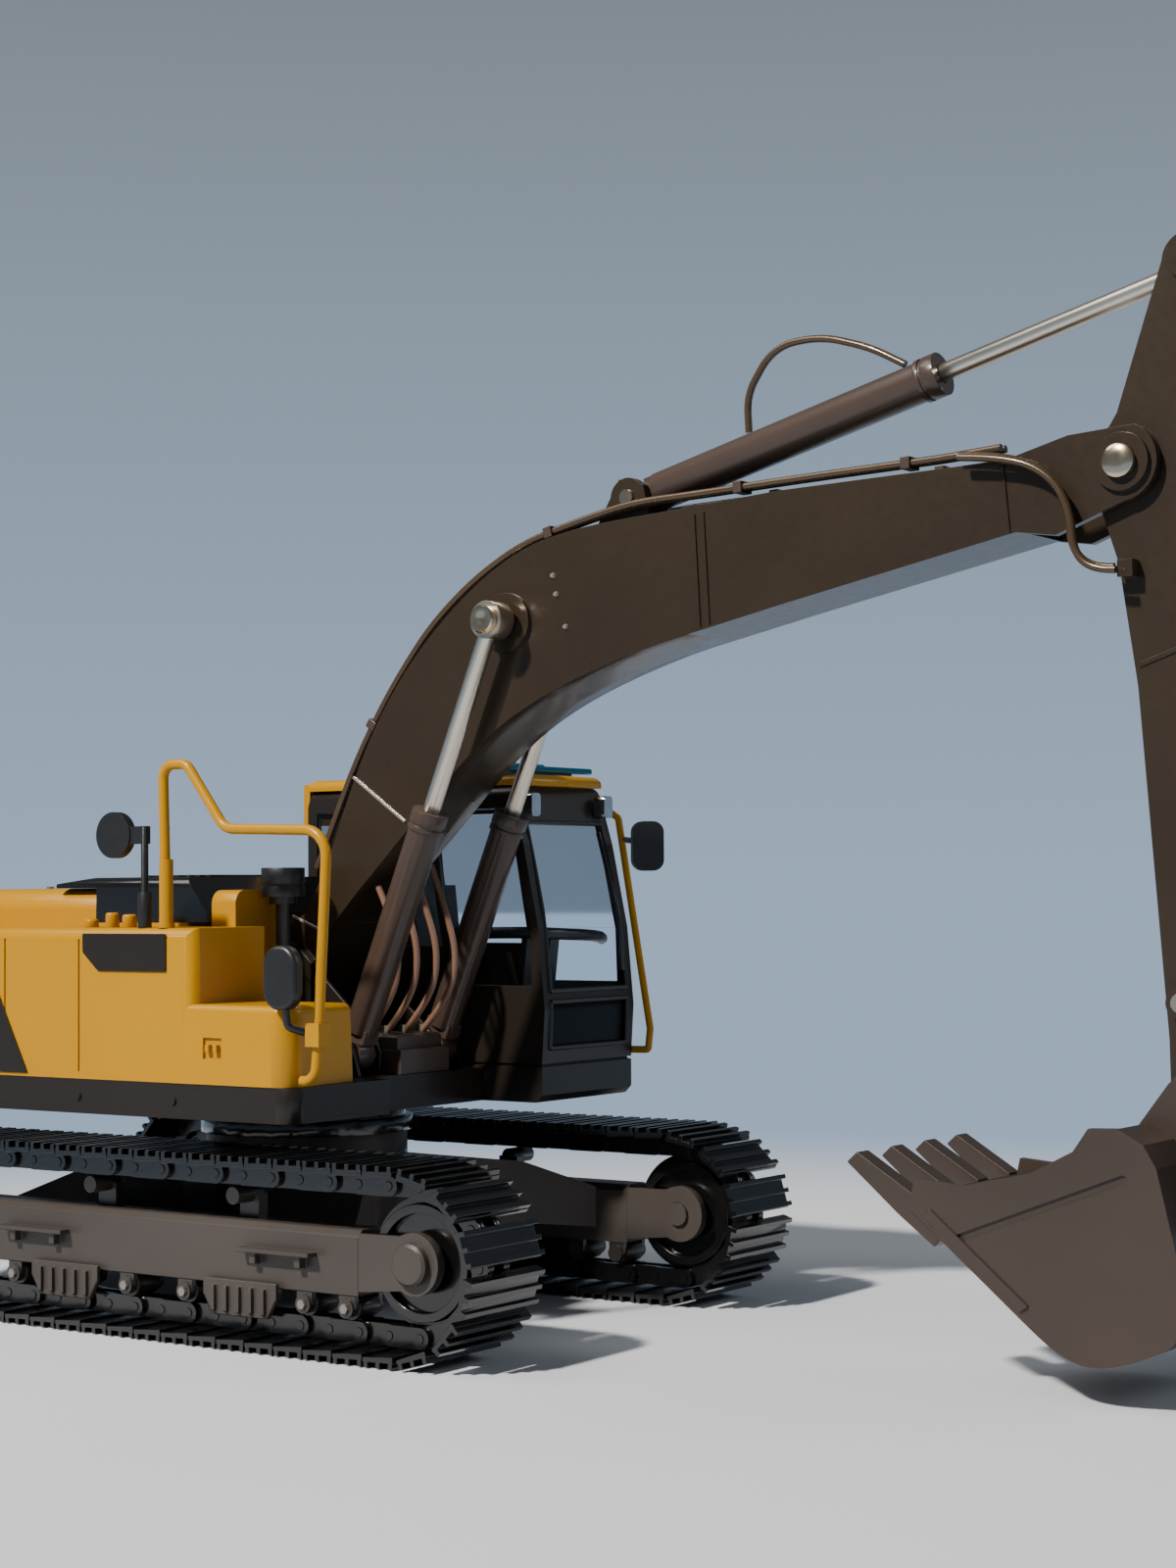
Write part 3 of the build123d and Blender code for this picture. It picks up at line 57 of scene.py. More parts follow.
# Camera: a long lens close to the ground, ahead and to the right of the machine.
turn, dip, lean = radians(34.818), radians(-2.251), radians(-0.411)
back = Vector((sin(turn) * cos(dip), -cos(turn) * cos(dip), sin(dip)))
level_right = Vector((cos(turn), sin(turn), 0))
level_up = back.cross(level_right)
right = cos(lean) * level_right + sin(lean) * level_up
up = -sin(lean) * level_right + cos(lean) * level_up
camera_data = bpy.data.cameras.new("camera")
camera_data.lens = 61.38
camera_data.sensor_width = 36
camera = bpy.data.objects.new("camera", camera_data)
camera.matrix_world = Matrix((
    (right.x, up.x, back.x, 0.170139),
    (right.y, up.y, back.y, -0.232717),
    (right.z, up.z, back.z, 0.046409),
    (0, 0, 0, 1),
))
bpy.context.collection.objects.link(camera)
bpy.context.scene.camera = camera


# Studio: a small hard key lamp on the left, two weak fills, and a grey-blue room.
def lamp(name, place, aim, size, power, colour=(1, 1, 1)):
    data = bpy.data.lights.new(name, "AREA")
    data.shape = "DISK"
    data.size = size
    data.energy = power
    data.color = colour
    obj = bpy.data.objects.new(name, data)
    obj.location = place
    way = Vector(aim) - Vector(place)
    obj.rotation_euler = way.to_track_quat("-Z", "Y").to_euler()
    bpy.context.collection.objects.link(obj)


lamp("key lamp", (-0.22, -0.80, 0.85), (0.02, 0, 0.03), 0.07, 25, (1, 0.95, 0.88))
lamp("broad lamp", (-0.5, -0.3, 0.8), (0.0, 0, 0.03), 0.5, 2.4, (1, 0.98, 0.95))
lamp("rim lamp", (0.6, 0.5, 0.45), (0.0, 0, 0.05), 0.35, 1.3, (0.9, 0.95, 1))

world = bpy.data.worlds.new("room")
bpy.context.scene.world = world
world.use_nodes = True
tree = world.node_tree
tree.nodes.clear()
where = tree.nodes.new("ShaderNodeTexCoord")
split = tree.nodes.new("ShaderNodeSeparateXYZ")
ramp = tree.nodes.new("ShaderNodeValToRGB")
light = tree.nodes.new("ShaderNodeBackground")
out = tree.nodes.new("ShaderNodeOutputWorld")
tree.links.new(where.outputs["Generated"], split.inputs[0])
tree.links.new(split.outputs["Z"], ramp.inputs["Fac"])
tree.links.new(ramp.outputs["Color"], light.inputs["Color"])
tree.links.new(light.outputs[0], out.inputs[0])
# The wall is seen at full tone, and gives the model a softer fill than that.
path = tree.nodes.new("ShaderNodeLightPath")
level = tree.nodes.new("ShaderNodeMapRange")
level.inputs["To Min"].default_value = 0.42
level.inputs["To Max"].default_value = 1.0
tree.links.new(path.outputs["Is Camera Ray"], level.inputs["Value"])
tree.links.new(level.outputs["Result"], light.inputs["Strength"])
ramp.color_ramp.elements[0].position = 0.0
ramp.color_ramp.elements[0].color = (0.36, 0.49, 0.66, 1)
ramp.color_ramp.elements[1].position = 0.34
ramp.color_ramp.elements[1].color = (0.21, 0.245, 0.28, 1)
room_colour = (0.36, 0.49, 0.66, 1)

# Floor: a pale sheet of card, that takes the room's tone further out.
floor_mesh = bpy.data.meshes.new("floor")
reach = 4.0
floor_mesh.from_pydata([(-reach, -reach, -0.0001), (reach, -reach, -0.0001),
                        (reach, reach, -0.0001), (-reach, reach, -0.0001)], [], [(0, 1, 2, 3)])
floor = bpy.data.objects.new("floor", floor_mesh)
bpy.context.collection.objects.link(floor)
card = bpy.data.materials.new("pale card")
card.use_nodes = True
tree = card.node_tree
tree.nodes.clear()
where = tree.nodes.new("ShaderNodeTexCoord")
far = tree.nodes.new("ShaderNodeVectorMath")
far.operation = "LENGTH"
fade = tree.nodes.new("ShaderNodeMapRange")
fade.interpolation_type = "SMOOTHSTEP"
fade.inputs["From Min"].default_value = 0.10
fade.inputs["From Max"].default_value = 0.24
grain = tree.nodes.new("ShaderNodeTexNoise")
grain.inputs["Scale"].default_value = 900
bump = tree.nodes.new("ShaderNodeBump")
bump.inputs["Strength"].default_value = 0.05
bump.inputs["Distance"].default_value = 0.0002
near = tree.nodes.new("ShaderNodeBsdfDiffuse")
near.inputs["Color"].default_value = (0.60, 0.62, 0.66, 1)
glow = tree.nodes.new("ShaderNodeEmission")
glow.inputs["Color"].default_value = room_colour
mix = tree.nodes.new("ShaderNodeMixShader")
out = tree.nodes.new("ShaderNodeOutputMaterial")
tree.links.new(where.outputs["Object"], far.inputs[0])
tree.links.new(far.outputs["Value"], fade.inputs["Value"])
tree.links.new(where.outputs["Object"], grain.inputs["Vector"])
tree.links.new(grain.outputs["Fac"], bump.inputs["Height"])
tree.links.new(bump.outputs["Normal"], near.inputs["Normal"])
tree.links.new(fade.outputs["Result"], mix.inputs["Fac"])
tree.links.new(near.outputs[0], mix.inputs[1])
tree.links.new(glow.outputs[0], mix.inputs[2])
tree.links.new(mix.outputs[0], out.inputs[0])
floor_mesh.materials.append(card)

# ---------------------------------------------------------------- lower frame and track frames
# Cast metal, sprayed taupe grey: an X of legs under the slew ring, and a box beam each side
# with its rollers, guards and side steps. The idler hubs and final drives are bolted on.
joint_at = {j["name"]: Vector(j["pos_m"]) for j in frame["joints"] if "pos_m" in j}
slew_middle = joint_at["slew"]


def spot(x, y, z):
    """A place measured in millimetres from the slew axis on the ground."""
    return Vector((slew_middle.x + x / 1000, y / 1000, z / 1000))


def sprayed(name, colour, roughness=0.45, metal=0.0, shift=0.06, grain=900, depth=0.00002,
            coat=0.0, specular=0.5, blotch=60):
    """A sprayed or moulded finish: slow blotches of tone, and a fine grain in gloss and relief."""
    made = bpy.data.materials.new(name)
    made.use_nodes = True
    tree = made.node_tree
    shader = tree.nodes["Principled BSDF"]
    where = tree.nodes.new("ShaderNodeTexCoord")
    slow = tree.nodes.new("ShaderNodeTexNoise")
    slow.inputs["Scale"].default_value = blotch
    slow.inputs["Detail"].default_value = 4
    tones = tree.nodes.new("ShaderNodeValToRGB")
    tones.color_ramp.elements[0].position = 0.35
    tones.color_ramp.elements[1].position = 0.68
    tones.color_ramp.elements[0].color = [c * (1 - shift) for c in colour] + [1]
    tones.color_ramp.elements[1].color = [min(1, c * (1 + shift)) for c in colour] + [1]
    fine = tree.nodes.new("ShaderNodeTexNoise")
    fine.inputs["Scale"].default_value = grain
    fine.inputs["Detail"].default_value = 3
    gloss = tree.nodes.new("ShaderNodeMapRange")
    gloss.inputs["To Min"].default_value = max(0.02, roughness - 0.06)
    gloss.inputs["To Max"].default_value = min(1, roughness + 0.06)
    relief = tree.nodes.new("ShaderNodeBump")
    relief.inputs["Strength"].default_value = 0.5
    relief.inputs["Distance"].default_value = depth
    shader.inputs["Metallic"].default_value = metal
    shader.inputs["Specular IOR Level"].default_value = specular
    shader.inputs["Coat Weight"].default_value = coat
    shader.inputs["Coat Roughness"].default_value = 0.1
    tree.links.new(where.outputs["Object"], slow.inputs["Vector"])
    tree.links.new(where.outputs["Object"], fine.inputs["Vector"])
    tree.links.new(slow.outputs["Fac"], tones.inputs["Fac"])
    tree.links.new(tones.outputs["Color"], shader.inputs["Base Color"])
    tree.links.new(fine.outputs["Fac"], gloss.inputs["Value"])
    tree.links.new(gloss.outputs["Result"], shader.inputs["Roughness"])
    tree.links.new(fine.outputs["Fac"], relief.inputs["Height"])
    tree.links.new(relief.outputs["Normal"], shader.inputs["Normal"])
    return made


def coat_nodes(material, names, edge=0.00015):
    """Gives these CAD nodes their finish, and a small soft edge all round."""
    for name in names:
        obj = nodes[name]
        for place in obj.material_slots:
            place.material = material
        if not obj.material_slots:
            obj.data.materials.append(material)
        if edge:
            weld = obj.modifiers.new("weld", "WELD")
            weld.merge_threshold = 1e-6
            soft = obj.modifiers.new("edge", "BEVEL")
            soft.width = edge
            soft.segments = 2
            soft.limit_method = "ANGLE"
            soft.angle_limit = radians(38)
            soft.harden_normals = True
            soft.use_clamp_overlap = True


def finished(obj, material, body):
    """Puts a new piece in the scene with its finish, on the body that it moves with."""
    if obj.name not in bpy.context.collection.objects:
        bpy.context.collection.objects.link(obj)
    if not obj.data.materials:
        obj.data.materials.append(material)
    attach(obj, body)
    return obj


def studs(name, places, turn, radius, height, sides, taper, material, body):
    """The same small head at each place: a tapered round or six-sided boss, turned to face out."""
    mesh = bpy.data.meshes.new(name)
    mesh.from_pydata([tuple(p) for p in places], [], [])
    obj = bpy.data.objects.new(name, mesh)
    bpy.context.collection.objects.link(obj)
    tree = bpy.data.node_groups.new(name, "GeometryNodeTree")
    face = tree.interface
    face.new_socket("Geometry", in_out="INPUT", socket_type="NodeSocketGeometry")
    sizes = {}
    for label, value in (("Foot Radius", radius), ("Top Radius", radius * taper),
                         ("Height", height)):
        made = face.new_socket(label, in_out="INPUT", socket_type="NodeSocketFloat")
        sizes[made.identifier] = value
    made = face.new_socket("Turn", in_out="INPUT", socket_type="NodeSocketVector")
    sizes[made.identifier] = turn
    face.new_socket("Geometry", in_out="OUTPUT", socket_type="NodeSocketGeometry")
    start = tree.nodes.new("NodeGroupInput")
    end = tree.nodes.new("NodeGroupOutput")
    head = tree.nodes.new("GeometryNodeMeshCone")
    head.inputs["Vertices"].default_value = sides
    put = tree.nodes.new("GeometryNodeInstanceOnPoints")
    angle = tree.nodes.new("FunctionNodeEulerToRotation")
    real = tree.nodes.new("GeometryNodeRealizeInstances")
    paint = tree.nodes.new("GeometryNodeSetMaterial")
    paint.inputs["Material"].default_value = material
    link = tree.links.new
    link(start.outputs["Geometry"], put.inputs["Points"])
    link(start.outputs["Foot Radius"], head.inputs["Radius Bottom"])
    link(start.outputs["Top Radius"], head.inputs["Radius Top"])
    link(start.outputs["Height"], head.inputs["Depth"])
    link(start.outputs["Turn"], angle.inputs[0])
    link(head.outputs["Mesh"], put.inputs["Instance"])
    link(angle.outputs[0], put.inputs["Rotation"])
    link(put.outputs[0], real.inputs[0])
    link(real.outputs[0], paint.inputs["Geometry"])
    link(paint.outputs[0], end.inputs[0])
    way = obj.modifiers.new("heads", "NODES")
    way.node_group = tree
    for key, value in sizes.items():
        way[key] = value
    seen = obj.evaluated_get(bpy.context.evaluated_depsgraph_get())
    solid = bpy.data.meshes.new_from_object(seen)
    obj.modifiers.clear()
    obj.data = solid
    return finished(obj, material, body)


FACE_RIGHT = (pi / 2, 0, 0)  # turns a head to look along -Y
FACE_LEFT = (-pi / 2, 0, 0)


def turned(name, profile, middle, sign, material, body, steps=40):
    """A round piece about Y: profile is (distance out along sign * Y, radius) in millimetres."""
    mesh = bpy.data.meshes.new(name)
    work = bmesh.new()
    rings = []
    for out_by, radius in profile:
        ring = []
        for n in range(steps):
            a = 2 * pi * n / steps
            ring.append(work.verts.new((middle[0] + radius / 1000 * cos(a),
                                        middle[1] + sign * out_by / 1000,
                                        middle[2] + radius / 1000 * sin(a))))
        rings.append(ring)
    for low, high in zip(rings, rings[1:]):
        for n in range(steps):
            m = (n + 1) % steps
            work.faces.new((low[n], low[m], high[m], high[n]))
    work.faces.new(rings[0])
    work.faces.new(rings[-1])
    bmesh.ops.recalc_face_normals(work, faces=work.faces[:])
    for face in work.faces:
        face.smooth = len(face.verts) == 4
    work.to_mesh(mesh)
    work.free()
    mesh.set_sharp_from_angle(angle=radians(35))
    return finished(bpy.data.objects.new(name, mesh), material, body)


def slab(name, plan, low, high, axis, material, body, slot, soft=0.00012):
    """A flat piece with this outline in millimetres, between two levels along Y or along X."""
    mesh = bpy.data.meshes.new(name)
    work = bmesh.new()
    both = []
    for level in (low, high):
        if axis == "Y":
            both.append([work.verts.new(spot(a, level, b)) for a, b in plan])
        elif axis == "X":
            both.append([work.verts.new(spot(level, a, b)) for a, b in plan])
        else:
            both.append([work.verts.new(spot(a, b, level)) for a, b in plan])
    for ring in both:
        work.faces.new(ring)
    for n in range(len(plan)):
        m = (n + 1) % len(plan)
        work.faces.new((both[0][n], both[0][m], both[1][m], both[1][n]))
    bmesh.ops.recalc_face_normals(work, faces=work.faces[:])
    work.to_mesh(mesh)
    work.free()
    obj = bpy.data.objects.new(name, mesh)
    finished(obj, material, body)
    if soft:
        edge = obj.modifiers.new("edge", "BEVEL")
        edge.width = soft
        edge.segments = 2
        edge.limit_method = "ANGLE"
        edge.angle_limit = radians(30)
        edge.harden_normals = True
    return obj


def hose(name, points, radius, material, body):
    """A round line, drawn as a smooth curve through the pull of these places, then meshed."""
    data = bpy.data.curves.new(name, "CURVE")
    data.dimensions = "3D"
    data.bevel_depth = radius / 1000
    data.bevel_resolution = 3
    data.use_fill_caps = True
    line = data.splines.new("NURBS")
    line.points.add(len(points) - 1)
    for place, at in zip(line.points, points):
        place.co = (*at, 1)
    line.use_endpoint_u = True
    line.order_u = 3
    line.resolution_u = 8
    curve = bpy.data.objects.new(name + ".line", data)
    bpy.context.collection.objects.link(curve)
    seen = curve.evaluated_get(bpy.context.evaluated_depsgraph_get())
    mesh = bpy.data.meshes.new_from_object(seen)
    bpy.data.objects.remove(curve)
    for face in mesh.polygons:
        face.use_smooth = True
    mesh.materials.clear()
    obj = bpy.data.objects.new(name, mesh)
    bpy.context.collection.objects.link(obj)
    obj.data.materials.append(material)
    if body:
        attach(obj, body)
    return obj


taupe = sprayed("taupe frame paint", (0.052, 0.043, 0.038), 0.40, shift=0.10, coat=0.1,
                specular=0.35)
coat_nodes(taupe, ["lower_frame", "track_frames", "track_guards", "final_drives",
                   "idler_yokes"])
bolt_grey = sprayed("bright bolt head", (0.30, 0.27, 0.25), 0.3, metal=0.7)
track_y = 23.9  # from the middle of the machine to the middle of a track
roller_out = 2.45  # from the middle of a track to a roller bolt's seat
hub_out = 3.2
drive_out = 3.18
drive_ring = 0.0026  # radius of a final drive's bolt circle, in metres
drive_bolts = 10
roller_xs = (-28.1, -19.7, -2.7, 5.7, 22.1, 27.7)
for side, sign in (("right", -1), ("left", 1)):
    out_face = FACE_RIGHT if sign < 0 else FACE_LEFT
    studs("roller_bolts_" + side,
          [spot(x, sign * (track_y + roller_out), 4.75) for x in roller_xs],
          out_face, 0.0006, 0.00035, 6, 0.85, bolt_grey, "undercarriage")
    hub = joint_at["idler_" + side + "_spin"]
    hub_face = track_y + hub_out
    turned("idler_hub_cap_" + side, [(hub_face - 0.4, 2.1), (hub_face + 0.3, 2.1),
                                     (hub_face + 0.55, 1.8), (hub_face + 0.6, 0.4)],
           (hub.x, 0, hub.z), sign, taupe, "undercarriage")
    drive = joint_at["sprocket_" + side + "_spin"]
    ring = []
    for n in range(drive_bolts):
        a = 2 * pi * n / drive_bolts
        ring.append((drive.x + drive_ring * cos(a), sign * (track_y + drive_out) / 1000,
                     drive.z + drive_ring * sin(a)))
    studs("final_drive_bolts_" + side, ring, out_face, 0.0003, 0.00025, 6, 0.9, bolt_grey,
          "undercarriage")

# ---------------------------------------------------------------- tracks
# Zinc shoes with three grousers on a pinned chain, all sprayed gloss black, with the wheels.
gloss_black = sprayed("gloss black paint", (0.004, 0.004, 0.004), 0.20, shift=0.2, coat=0.45,
                      grain=1400)
coat_nodes(gloss_black, ["track_shoes_left", "track_shoes_right", "track_chain_left",
                         "track_chain_right", "sprocket_left", "sprocket_right", "idler_left",
                         "idler_right", "slew_ring"], 0.00008)
roller_grey = sprayed("roller grey paint", (0.030, 0.025, 0.022), 0.3, shift=0.1, coat=0.2)
coat_nodes(roller_grey, ["track_rollers"], 0.00008)

# ---------------------------------------------------------------- deck and bodywork
# The turntable deck is cast and sprayed dark brown grey. The cabinets and the hood are cast
# and sprayed a warm yellow with a clear gloss over it.
dark_iron = sprayed("dark iron paint", (0.016, 0.012, 0.009), 0.34, shift=0.08, coat=0.1,
                    specular=0.3)
yellow = sprayed("yellow paint", (0.46, 0.215, 0.0), 0.30, shift=0.03, coat=0.08, grain=1300,
                 depth=0.00001, specular=0.25)
coat_nodes(dark_iron, ["deck", "boom_bracket", "counterweight", "cab_base", "cab_shell",
                       "blank_plates"])
coat_nodes(yellow, ["right_cabinet", "left_cabinet", "engine_hood", "cab_roof"], 0.0003)
coat_nodes(yellow, ["right_handrail", "cab_handrail"], 0)
black_plastic = sprayed("black plastic", (0.010, 0.010, 0.011), 0.40, shift=0.15)
coat_nodes(gloss_black, ["engine_cover"], 0.0003)
coat_nodes(black_plastic, ["pre_cleaner", "round_mirror", "front_mirror", "cab_mirror",
                           "wiper", "seat", "consoles"])
coat_nodes(yellow, ["filler_caps"], 0.0001)

# Latch: two small square bosses in the toolbox's recess.
for n, x in enumerate((8.95, 10.05)):
    slab(f"toolbox_latch_{n}", [(x - 0.28, 29.7), (x + 0.28, 29.7), (x + 0.28, 30.5),
                                (x - 0.28, 30.5)], -26.3, -25.7, "Y", yellow, "upper",
         "yellow_paint", 0.00008)
# Louvres in the left cabinet's door, pressed from the sheet in a row.
for n in range(4):
    z = 35.5 + 1.2 * n
    slab(f"door_louvre_{n}", [(-31.0, z), (-21.5, z), (-21.5, z + 0.45), (-31.0, z + 0.45)],
         25.9, 26.3, "Y", yellow, "upper", "yellow_paint", 0.00012)
# Grille slats on the black cover's top, and bolts at the hood's corners.
for n in range(7):
    x = -16.5 + 1.6 * n
    slab(f"cover_slat_{n}", [(x - 0.35, -9.0), (x + 0.35, -9.0), (x + 0.35, 4.0),
                             (x - 0.35, 4.0)], 48.0, 48.35, "Z", gloss_black, "upper",
         "gloss_black", 0.0001)
studs("hood_bolts", [spot(x, y, 46.85) for x in (-40, -30) for y in (-11, 11)], (0, 0, 0),
      0.0005, 0.0003, 6, 0.85, bolt_grey, "upper")
# Deck bolts along the right-hand edge.
studs("deck_bolts", [spot(x, -26.0, 24.4) for x in (-38, -24, -10, 4)], FACE_RIGHT,
      0.00045, 0.00022, 12, 0.8, dark_iron, "upper")

# ---------------------------------------------------------------- cab glass, hatch and lamps
# Thin clear plastic panes, a blue see-through hatch, and plated lamp bowls.
clear = bpy.data.materials.new("clear plastic pane")
clear.use_nodes = True
tree = clear.node_tree
shader = tree.nodes["Principled BSDF"]
where = tree.nodes.new("ShaderNodeTexCoord")
haze = tree.nodes.new("ShaderNodeTexNoise")
haze.inputs["Scale"].default_value = 120
dull = tree.nodes.new("ShaderNodeMapRange")
dull.inputs["To Min"].default_value = 0.02
dull.inputs["To Max"].default_value = 0.06
tree.links.new(where.outputs["Object"], haze.inputs["Vector"])
tree.links.new(haze.outputs["Fac"], dull.inputs["Value"])
tree.links.new(dull.outputs["Result"], shader.inputs["Roughness"])
shader.inputs["Base Color"].default_value = (0.96, 0.98, 1.0, 1)
shader.inputs["Transmission Weight"].default_value = 1.0
shader.inputs["IOR"].default_value = 1.12
coat_nodes(clear, ["cab_glass"], 0)

blue = bpy.data.materials.new("blue plastic pane")
blue.use_nodes = True
tree = blue.node_tree
shader = tree.nodes["Principled BSDF"]
where = tree.nodes.new("ShaderNodeTexCoord")
haze = tree.nodes.new("ShaderNodeTexNoise")
haze.inputs["Scale"].default_value = 90
tones = tree.nodes.new("ShaderNodeValToRGB")
tones.color_ramp.elements[0].color = (0.004, 0.10, 0.18, 1)
tones.color_ramp.elements[1].color = (0.010, 0.20, 0.32, 1)
tree.links.new(where.outputs["Object"], haze.inputs["Vector"])
tree.links.new(haze.outputs["Fac"], tones.inputs["Fac"])
tree.links.new(tones.outputs["Color"], shader.inputs["Base Color"])
shader.inputs["Roughness"].default_value = 0.12
shader.inputs["Transmission Weight"].default_value = 0.3
coat_nodes(blue, ["roof_hatch"], 0.0002)

plated = sprayed("plated lamp", (0.75, 0.76, 0.78), 0.16, metal=1.0, shift=0.05)
coat_nodes(plated, ["work_lights"], 0.0001)

# Waist bar: a bent black bar along the side window and across inside the front one.
cab_low, cab_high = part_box("cab_shell")
cab_y = (cab_low[1] * 1000, cab_high[1] * 1000)
hose("cab_waist_bar", [spot(12.0, cab_y[0] + 1.6, 41.4), spot(22.0, cab_y[0] + 1.4, 41.6),
                       spot(24.6, cab_y[0] + 4, 41.4), spot(24.6, cab_y[1] - 4, 41.0),
                       spot(22.8, cab_y[1] - 1.4, 40.6)],
     0.7, black_plastic, "upper")
# Steering column.
hose("steering_column", [spot(17.0, 18.7, 29.0), spot(16.0, 18.7, 35.0), spot(14.6, 18.7, 39.0)],
     0.45, black_plastic, "upper")
# Rubber seals round the two front panes, proud of the shell by a hair.


seal_radius = 0.28


def seal(name, corners, face_x):
    """A black rubber frame round a pane in the cab's front."""
    for n, (a, b) in enumerate(zip(corners, corners[1:] + corners[:1])):
        hose(f"{name}_{n}", [spot(face_x(a[1]), *a), spot(face_x((a[1] + b[1]) / 2),
                                                         (a[0] + b[0]) / 2, (a[1] + b[1]) / 2),
                             spot(face_x(b[1]), *b)], seal_radius, black_plastic, "upper")


def front_at(z):
    """How far forward the cab's front face is at this height."""
    line = ((26.9, 26.0), (33.0, 26.4), (42.0, 25.6), (51.5, 23.6), (58.2, 21.6))
    for (z0, x0), (z1, x1) in zip(line, line[1:]):
        if z <= z1:
            return x0 + (x1 - x0) * (z - z0) / (z1 - z0)
    return line[-1][1]


seal("low_pane_seal", [(11.1, 28.6), (26.3, 28.6), (26.3, 33.8), (11.1, 33.8)], front_at)
seal("high_pane_seal", [(11.1, 35.0), (26.3, 35.0), (26.2, 44.0), (26.1, 54.0), (11.3, 54.0),
                        (11.2, 44.0)], front_at)

# ---------------------------------------------------------------- boom, arm and bucket
# Cast zinc halves, sprayed a brown iron grey, a little glossy. Weld beads and grease studs are
# cast in relief.
boom_iron = sprayed("boom iron paint", (0.036, 0.024, 0.014), 0.30, metal=0.25, shift=0.10,
                    coat=0.2, specular=0.35)
coat_nodes(boom_iron, ["boom", "arm", "rockers", "bucket_link"])
bucket_iron = sprayed("bucket iron paint", (0.052, 0.037, 0.029), 0.33, metal=0.2, shift=0.10,
                      coat=0.15, specular=0.35)
coat_nodes(bucket_iron, ["bucket", "bucket_teeth"])
brass = sprayed("bright pin", (0.66, 0.52, 0.36), 0.2, metal=1.0, shift=0.08)
coat_nodes(brass, ["foot_pins", "boom_pins", "arm_pins"], 0.0001)
# Weld beads and grease studs on the boom: a bright metal tone, a painted highlight for the light
# caught along their raised edges.
bead = sprayed("weld bead painted highlight", (0.42, 0.38, 0.34), 0.25, metal=0.6, shift=0.1)
for sign in (-1, 1):
    word = "right" if sign < 0 else "left"
    y0, y1 = sorted((sign * 4.55, sign * 4.78))
    for n, (a, b) in enumerate((((10.9, 59.0), (18.2, 53.9)), ((2.0, 43.6), (6.6, 41.9)))):
        dx, dz = b[0] - a[0], b[1] - a[1]
        run = (dx * dx + dz * dz) ** 0.5
        nx, nz = -dz / run * 0.16, dx / run * 0.16
        slab(f"boom_weld_{word}_{n}", [(a[0] - nx, a[1] - nz), (b[0] - nx, b[1] - nz),
                                       (b[0] + nx, b[1] + nz), (a[0] + nx, a[1] + nz)],
             y0, y1, "Y", bead, "boom", "iron_paint", 0.00005)
    for n, (x, z0, z1) in enumerate(((56.5, 72.9, 84.4), (57.6, 73.1, 84.5), (91.0, 79.6, 86.1))):
        slab(f"boom_seam_{word}_{n}", [(x - 0.1, z0), (x + 0.1, z0), (x - 0.5, z1),
                                       (x - 0.7, z1)], y0, sign * 4.66 if sign > 0 else y1,
             "Y", boom_iron, "boom", "iron_paint", 0.00003)
    face = FACE_RIGHT if sign < 0 else FACE_LEFT
    # The studs carry the same painted highlight as the weld beads.
    studs("boom_studs_" + word, [spot(x, sign * 4.58, z) for x, z in (
        (38.6, 77.4), (39.8, 73.9), (38.2, 79.4))], face, 0.00032, 0.0003, 16, 0.6, bead,
        "boom")
    eye = spot(32.2, 0, 74.85)
    turned("lift_pin_head_" + word, [(8.6, 1.5), (9.2, 1.5), (9.35, 1.35), (9.38, 0.6),
                                     (9.3, 0.4)], (eye.x, 0, eye.z), sign, brass, "boom_rod")
    tip = joint_at["arm_swing"]
    turned("arm_pin_head_" + word, [(5.5, 1.55), (5.75, 1.55), (5.95, 1.2), (5.98, 0.4)],
           (tip.x, 0, tip.z), sign, brass, "boom")
# Wear bars along the bucket's lower edge, in the bucket's paint.
for sign in (-1, 1):
    word = "right" if sign < 0 else "left"
    y0, y1 = sorted((sign * 11.5, sign * 11.85))
    slab("bucket_wear_bar_" + word, [(84.6, 16.1), (88.6, 12.8), (94.4, 8.0), (95.3, 8.6),
                                     (89.5, 13.4), (85.4, 16.8)], y0, y1, "Y", bucket_iron,
         "bucket", "iron_paint", 0.00015)
    slab("arm_rib_" + word, [(103.3, 66.3), (111.2, 69.0), (111.2, 69.5), (103.3, 66.8)],
         *sorted((sign * 3.35, sign * 3.55)), "Y", boom_iron, "arm", "iron_paint", 0.00008)

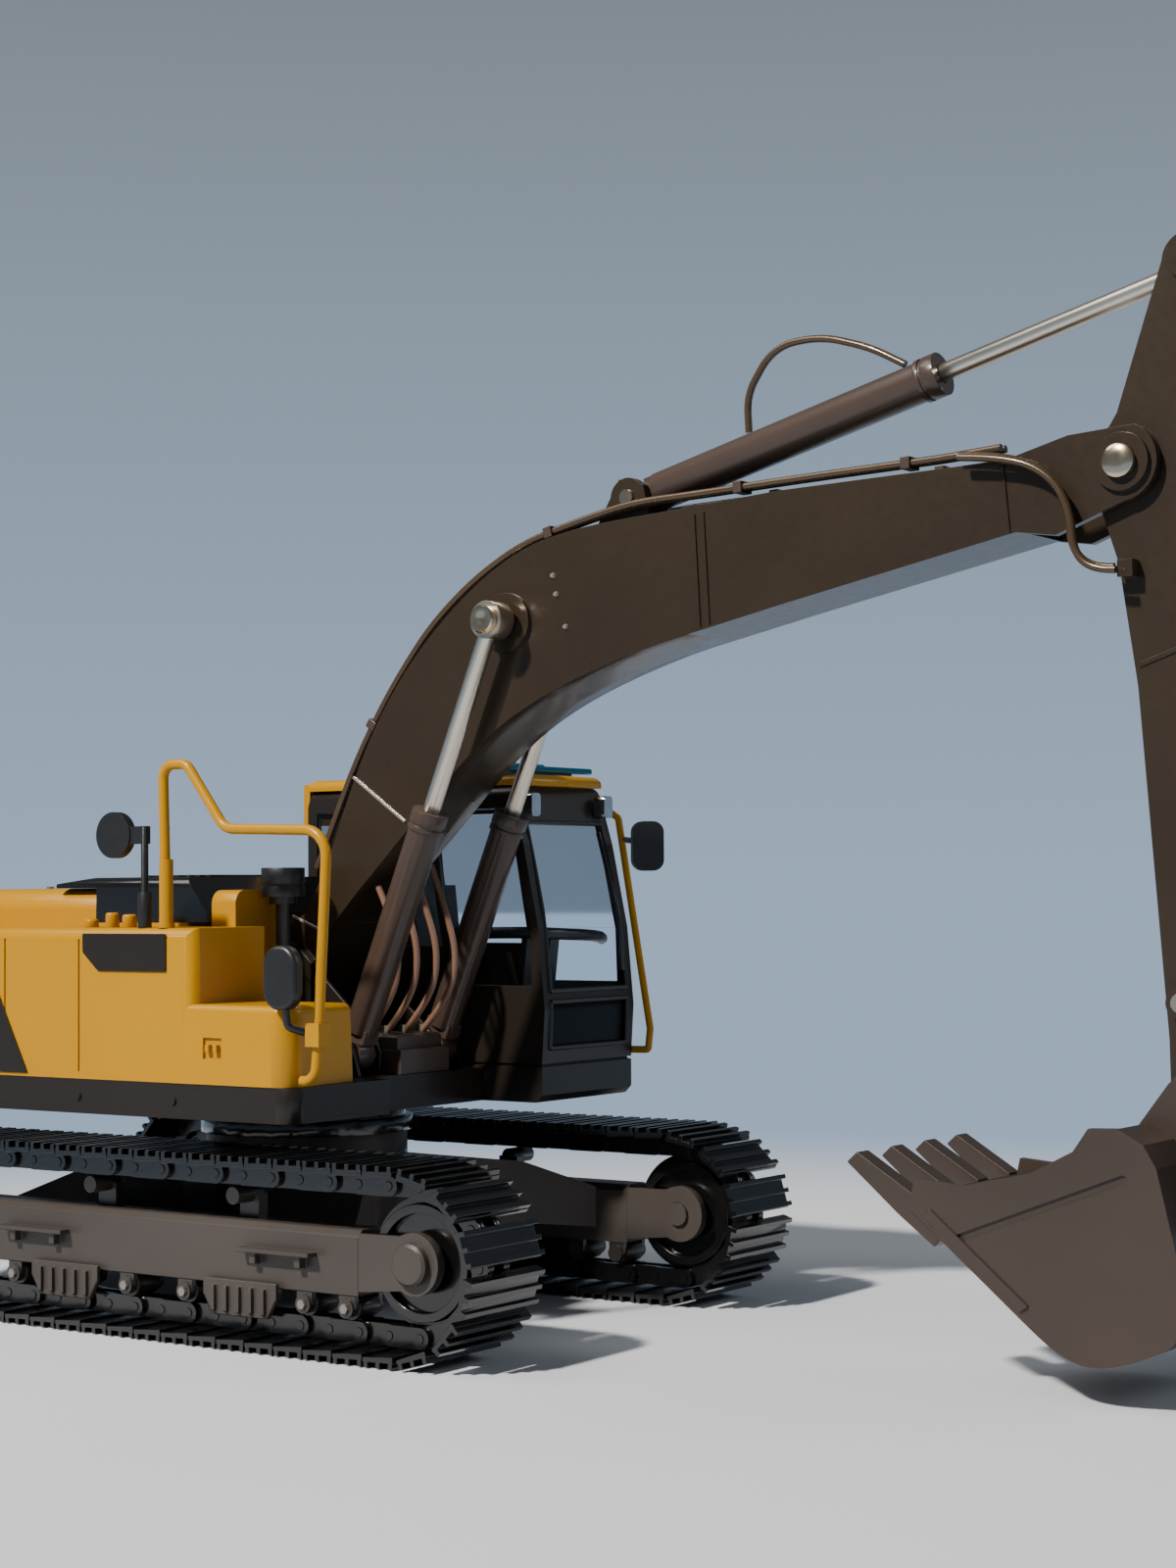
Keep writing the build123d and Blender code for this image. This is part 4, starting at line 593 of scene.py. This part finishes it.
# ---------------------------------------------------------------- cylinders and hoses
# Barrels sprayed brown grey, turned steel rods, and thin copper-brown lines.
barrel_grey = sprayed("cylinder paint", (0.058, 0.038, 0.029), 0.33, shift=0.08, coat=0.15,
                      specular=0.35)
coat_nodes(barrel_grey, ["boom_cylinders", "arm_cylinder", "bucket_cylinder", "hose_manifold",
                         "hose_clamps"], 0.0001)
steel = sprayed("turned steel", (0.66, 0.60, 0.50), 0.30, metal=1.0, shift=0.03, grain=150,
                depth=0.0000005)
coat_nodes(steel, ["boom_rods", "arm_rod", "bucket_rod"], 0.0001)
hose_brown = sprayed("hose finish", (0.075, 0.045, 0.022), 0.26, metal=0.3, shift=0.12,
                     coat=0.25)
coat_nodes(hose_brown, ["boom_hoses", "cylinder_hose"], 0)
hose_radius = 0.38
hose_tan = sprayed("deck hose finish", (0.200, 0.105, 0.065), 0.34, shift=0.12, coat=0.2)
# Deck hoses: four lines that rise from the manifold and bow forwards into the boom's belly.
for n, (y, x, bow) in enumerate(((-3.2, 11.6, 4.6), (-1.1, 12.4, 4.8), (1.1, 13.2, 5.0),
                                 (3.2, 14.0, 5.2))):
    belly = 41.6 + 0.975 * (x + 1.6 - 6.8)
    line = hose(f"deck_hose_{n}", [spot(x, y, 30.5), spot(x + bow * 0.75, y, 34.2),
                                   spot(x + bow, y, 38.6), spot(x + bow * 0.8, y, 43.0),
                                   spot(x + 1.6, y, belly - 1.0)], hose_radius, hose_tan, None)
    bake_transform(line)
    if n == 0:
        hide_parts("deck_hoses")
# Tip hoses: two lines that loop from the boom's end down to the arm's port.
tip = ((86.0, 87.3), (91.5, 86.8), (95.6, 84.6), (97.4, 81.2), (97.6, 77.4), (99.6, 75.6),
       (101.8, 75.5))
for n, (out_by, shift) in enumerate(((0.75, 0.0), (1.65, 0.9))):
    line = hose(f"tip_hose_{n}", [spot(x + shift * 0.6, -4.6 - out_by, z - shift * 0.4)
                                  for x, z in tip], hose_radius, hose_brown, None)
    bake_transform(line)
    if n == 0:
        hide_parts("tip_hoses")
# Crimped end fittings on the manifold.
studs("hose_fittings", [spot(x, y, 30.55) for y, x in ((-3.2, 11.6), (-1.1, 12.4), (1.1, 13.2),
                                                      (3.2, 14.0))], (0, 0, 0), 0.00062,
      0.0009, 6, 0.95, brass, "upper")
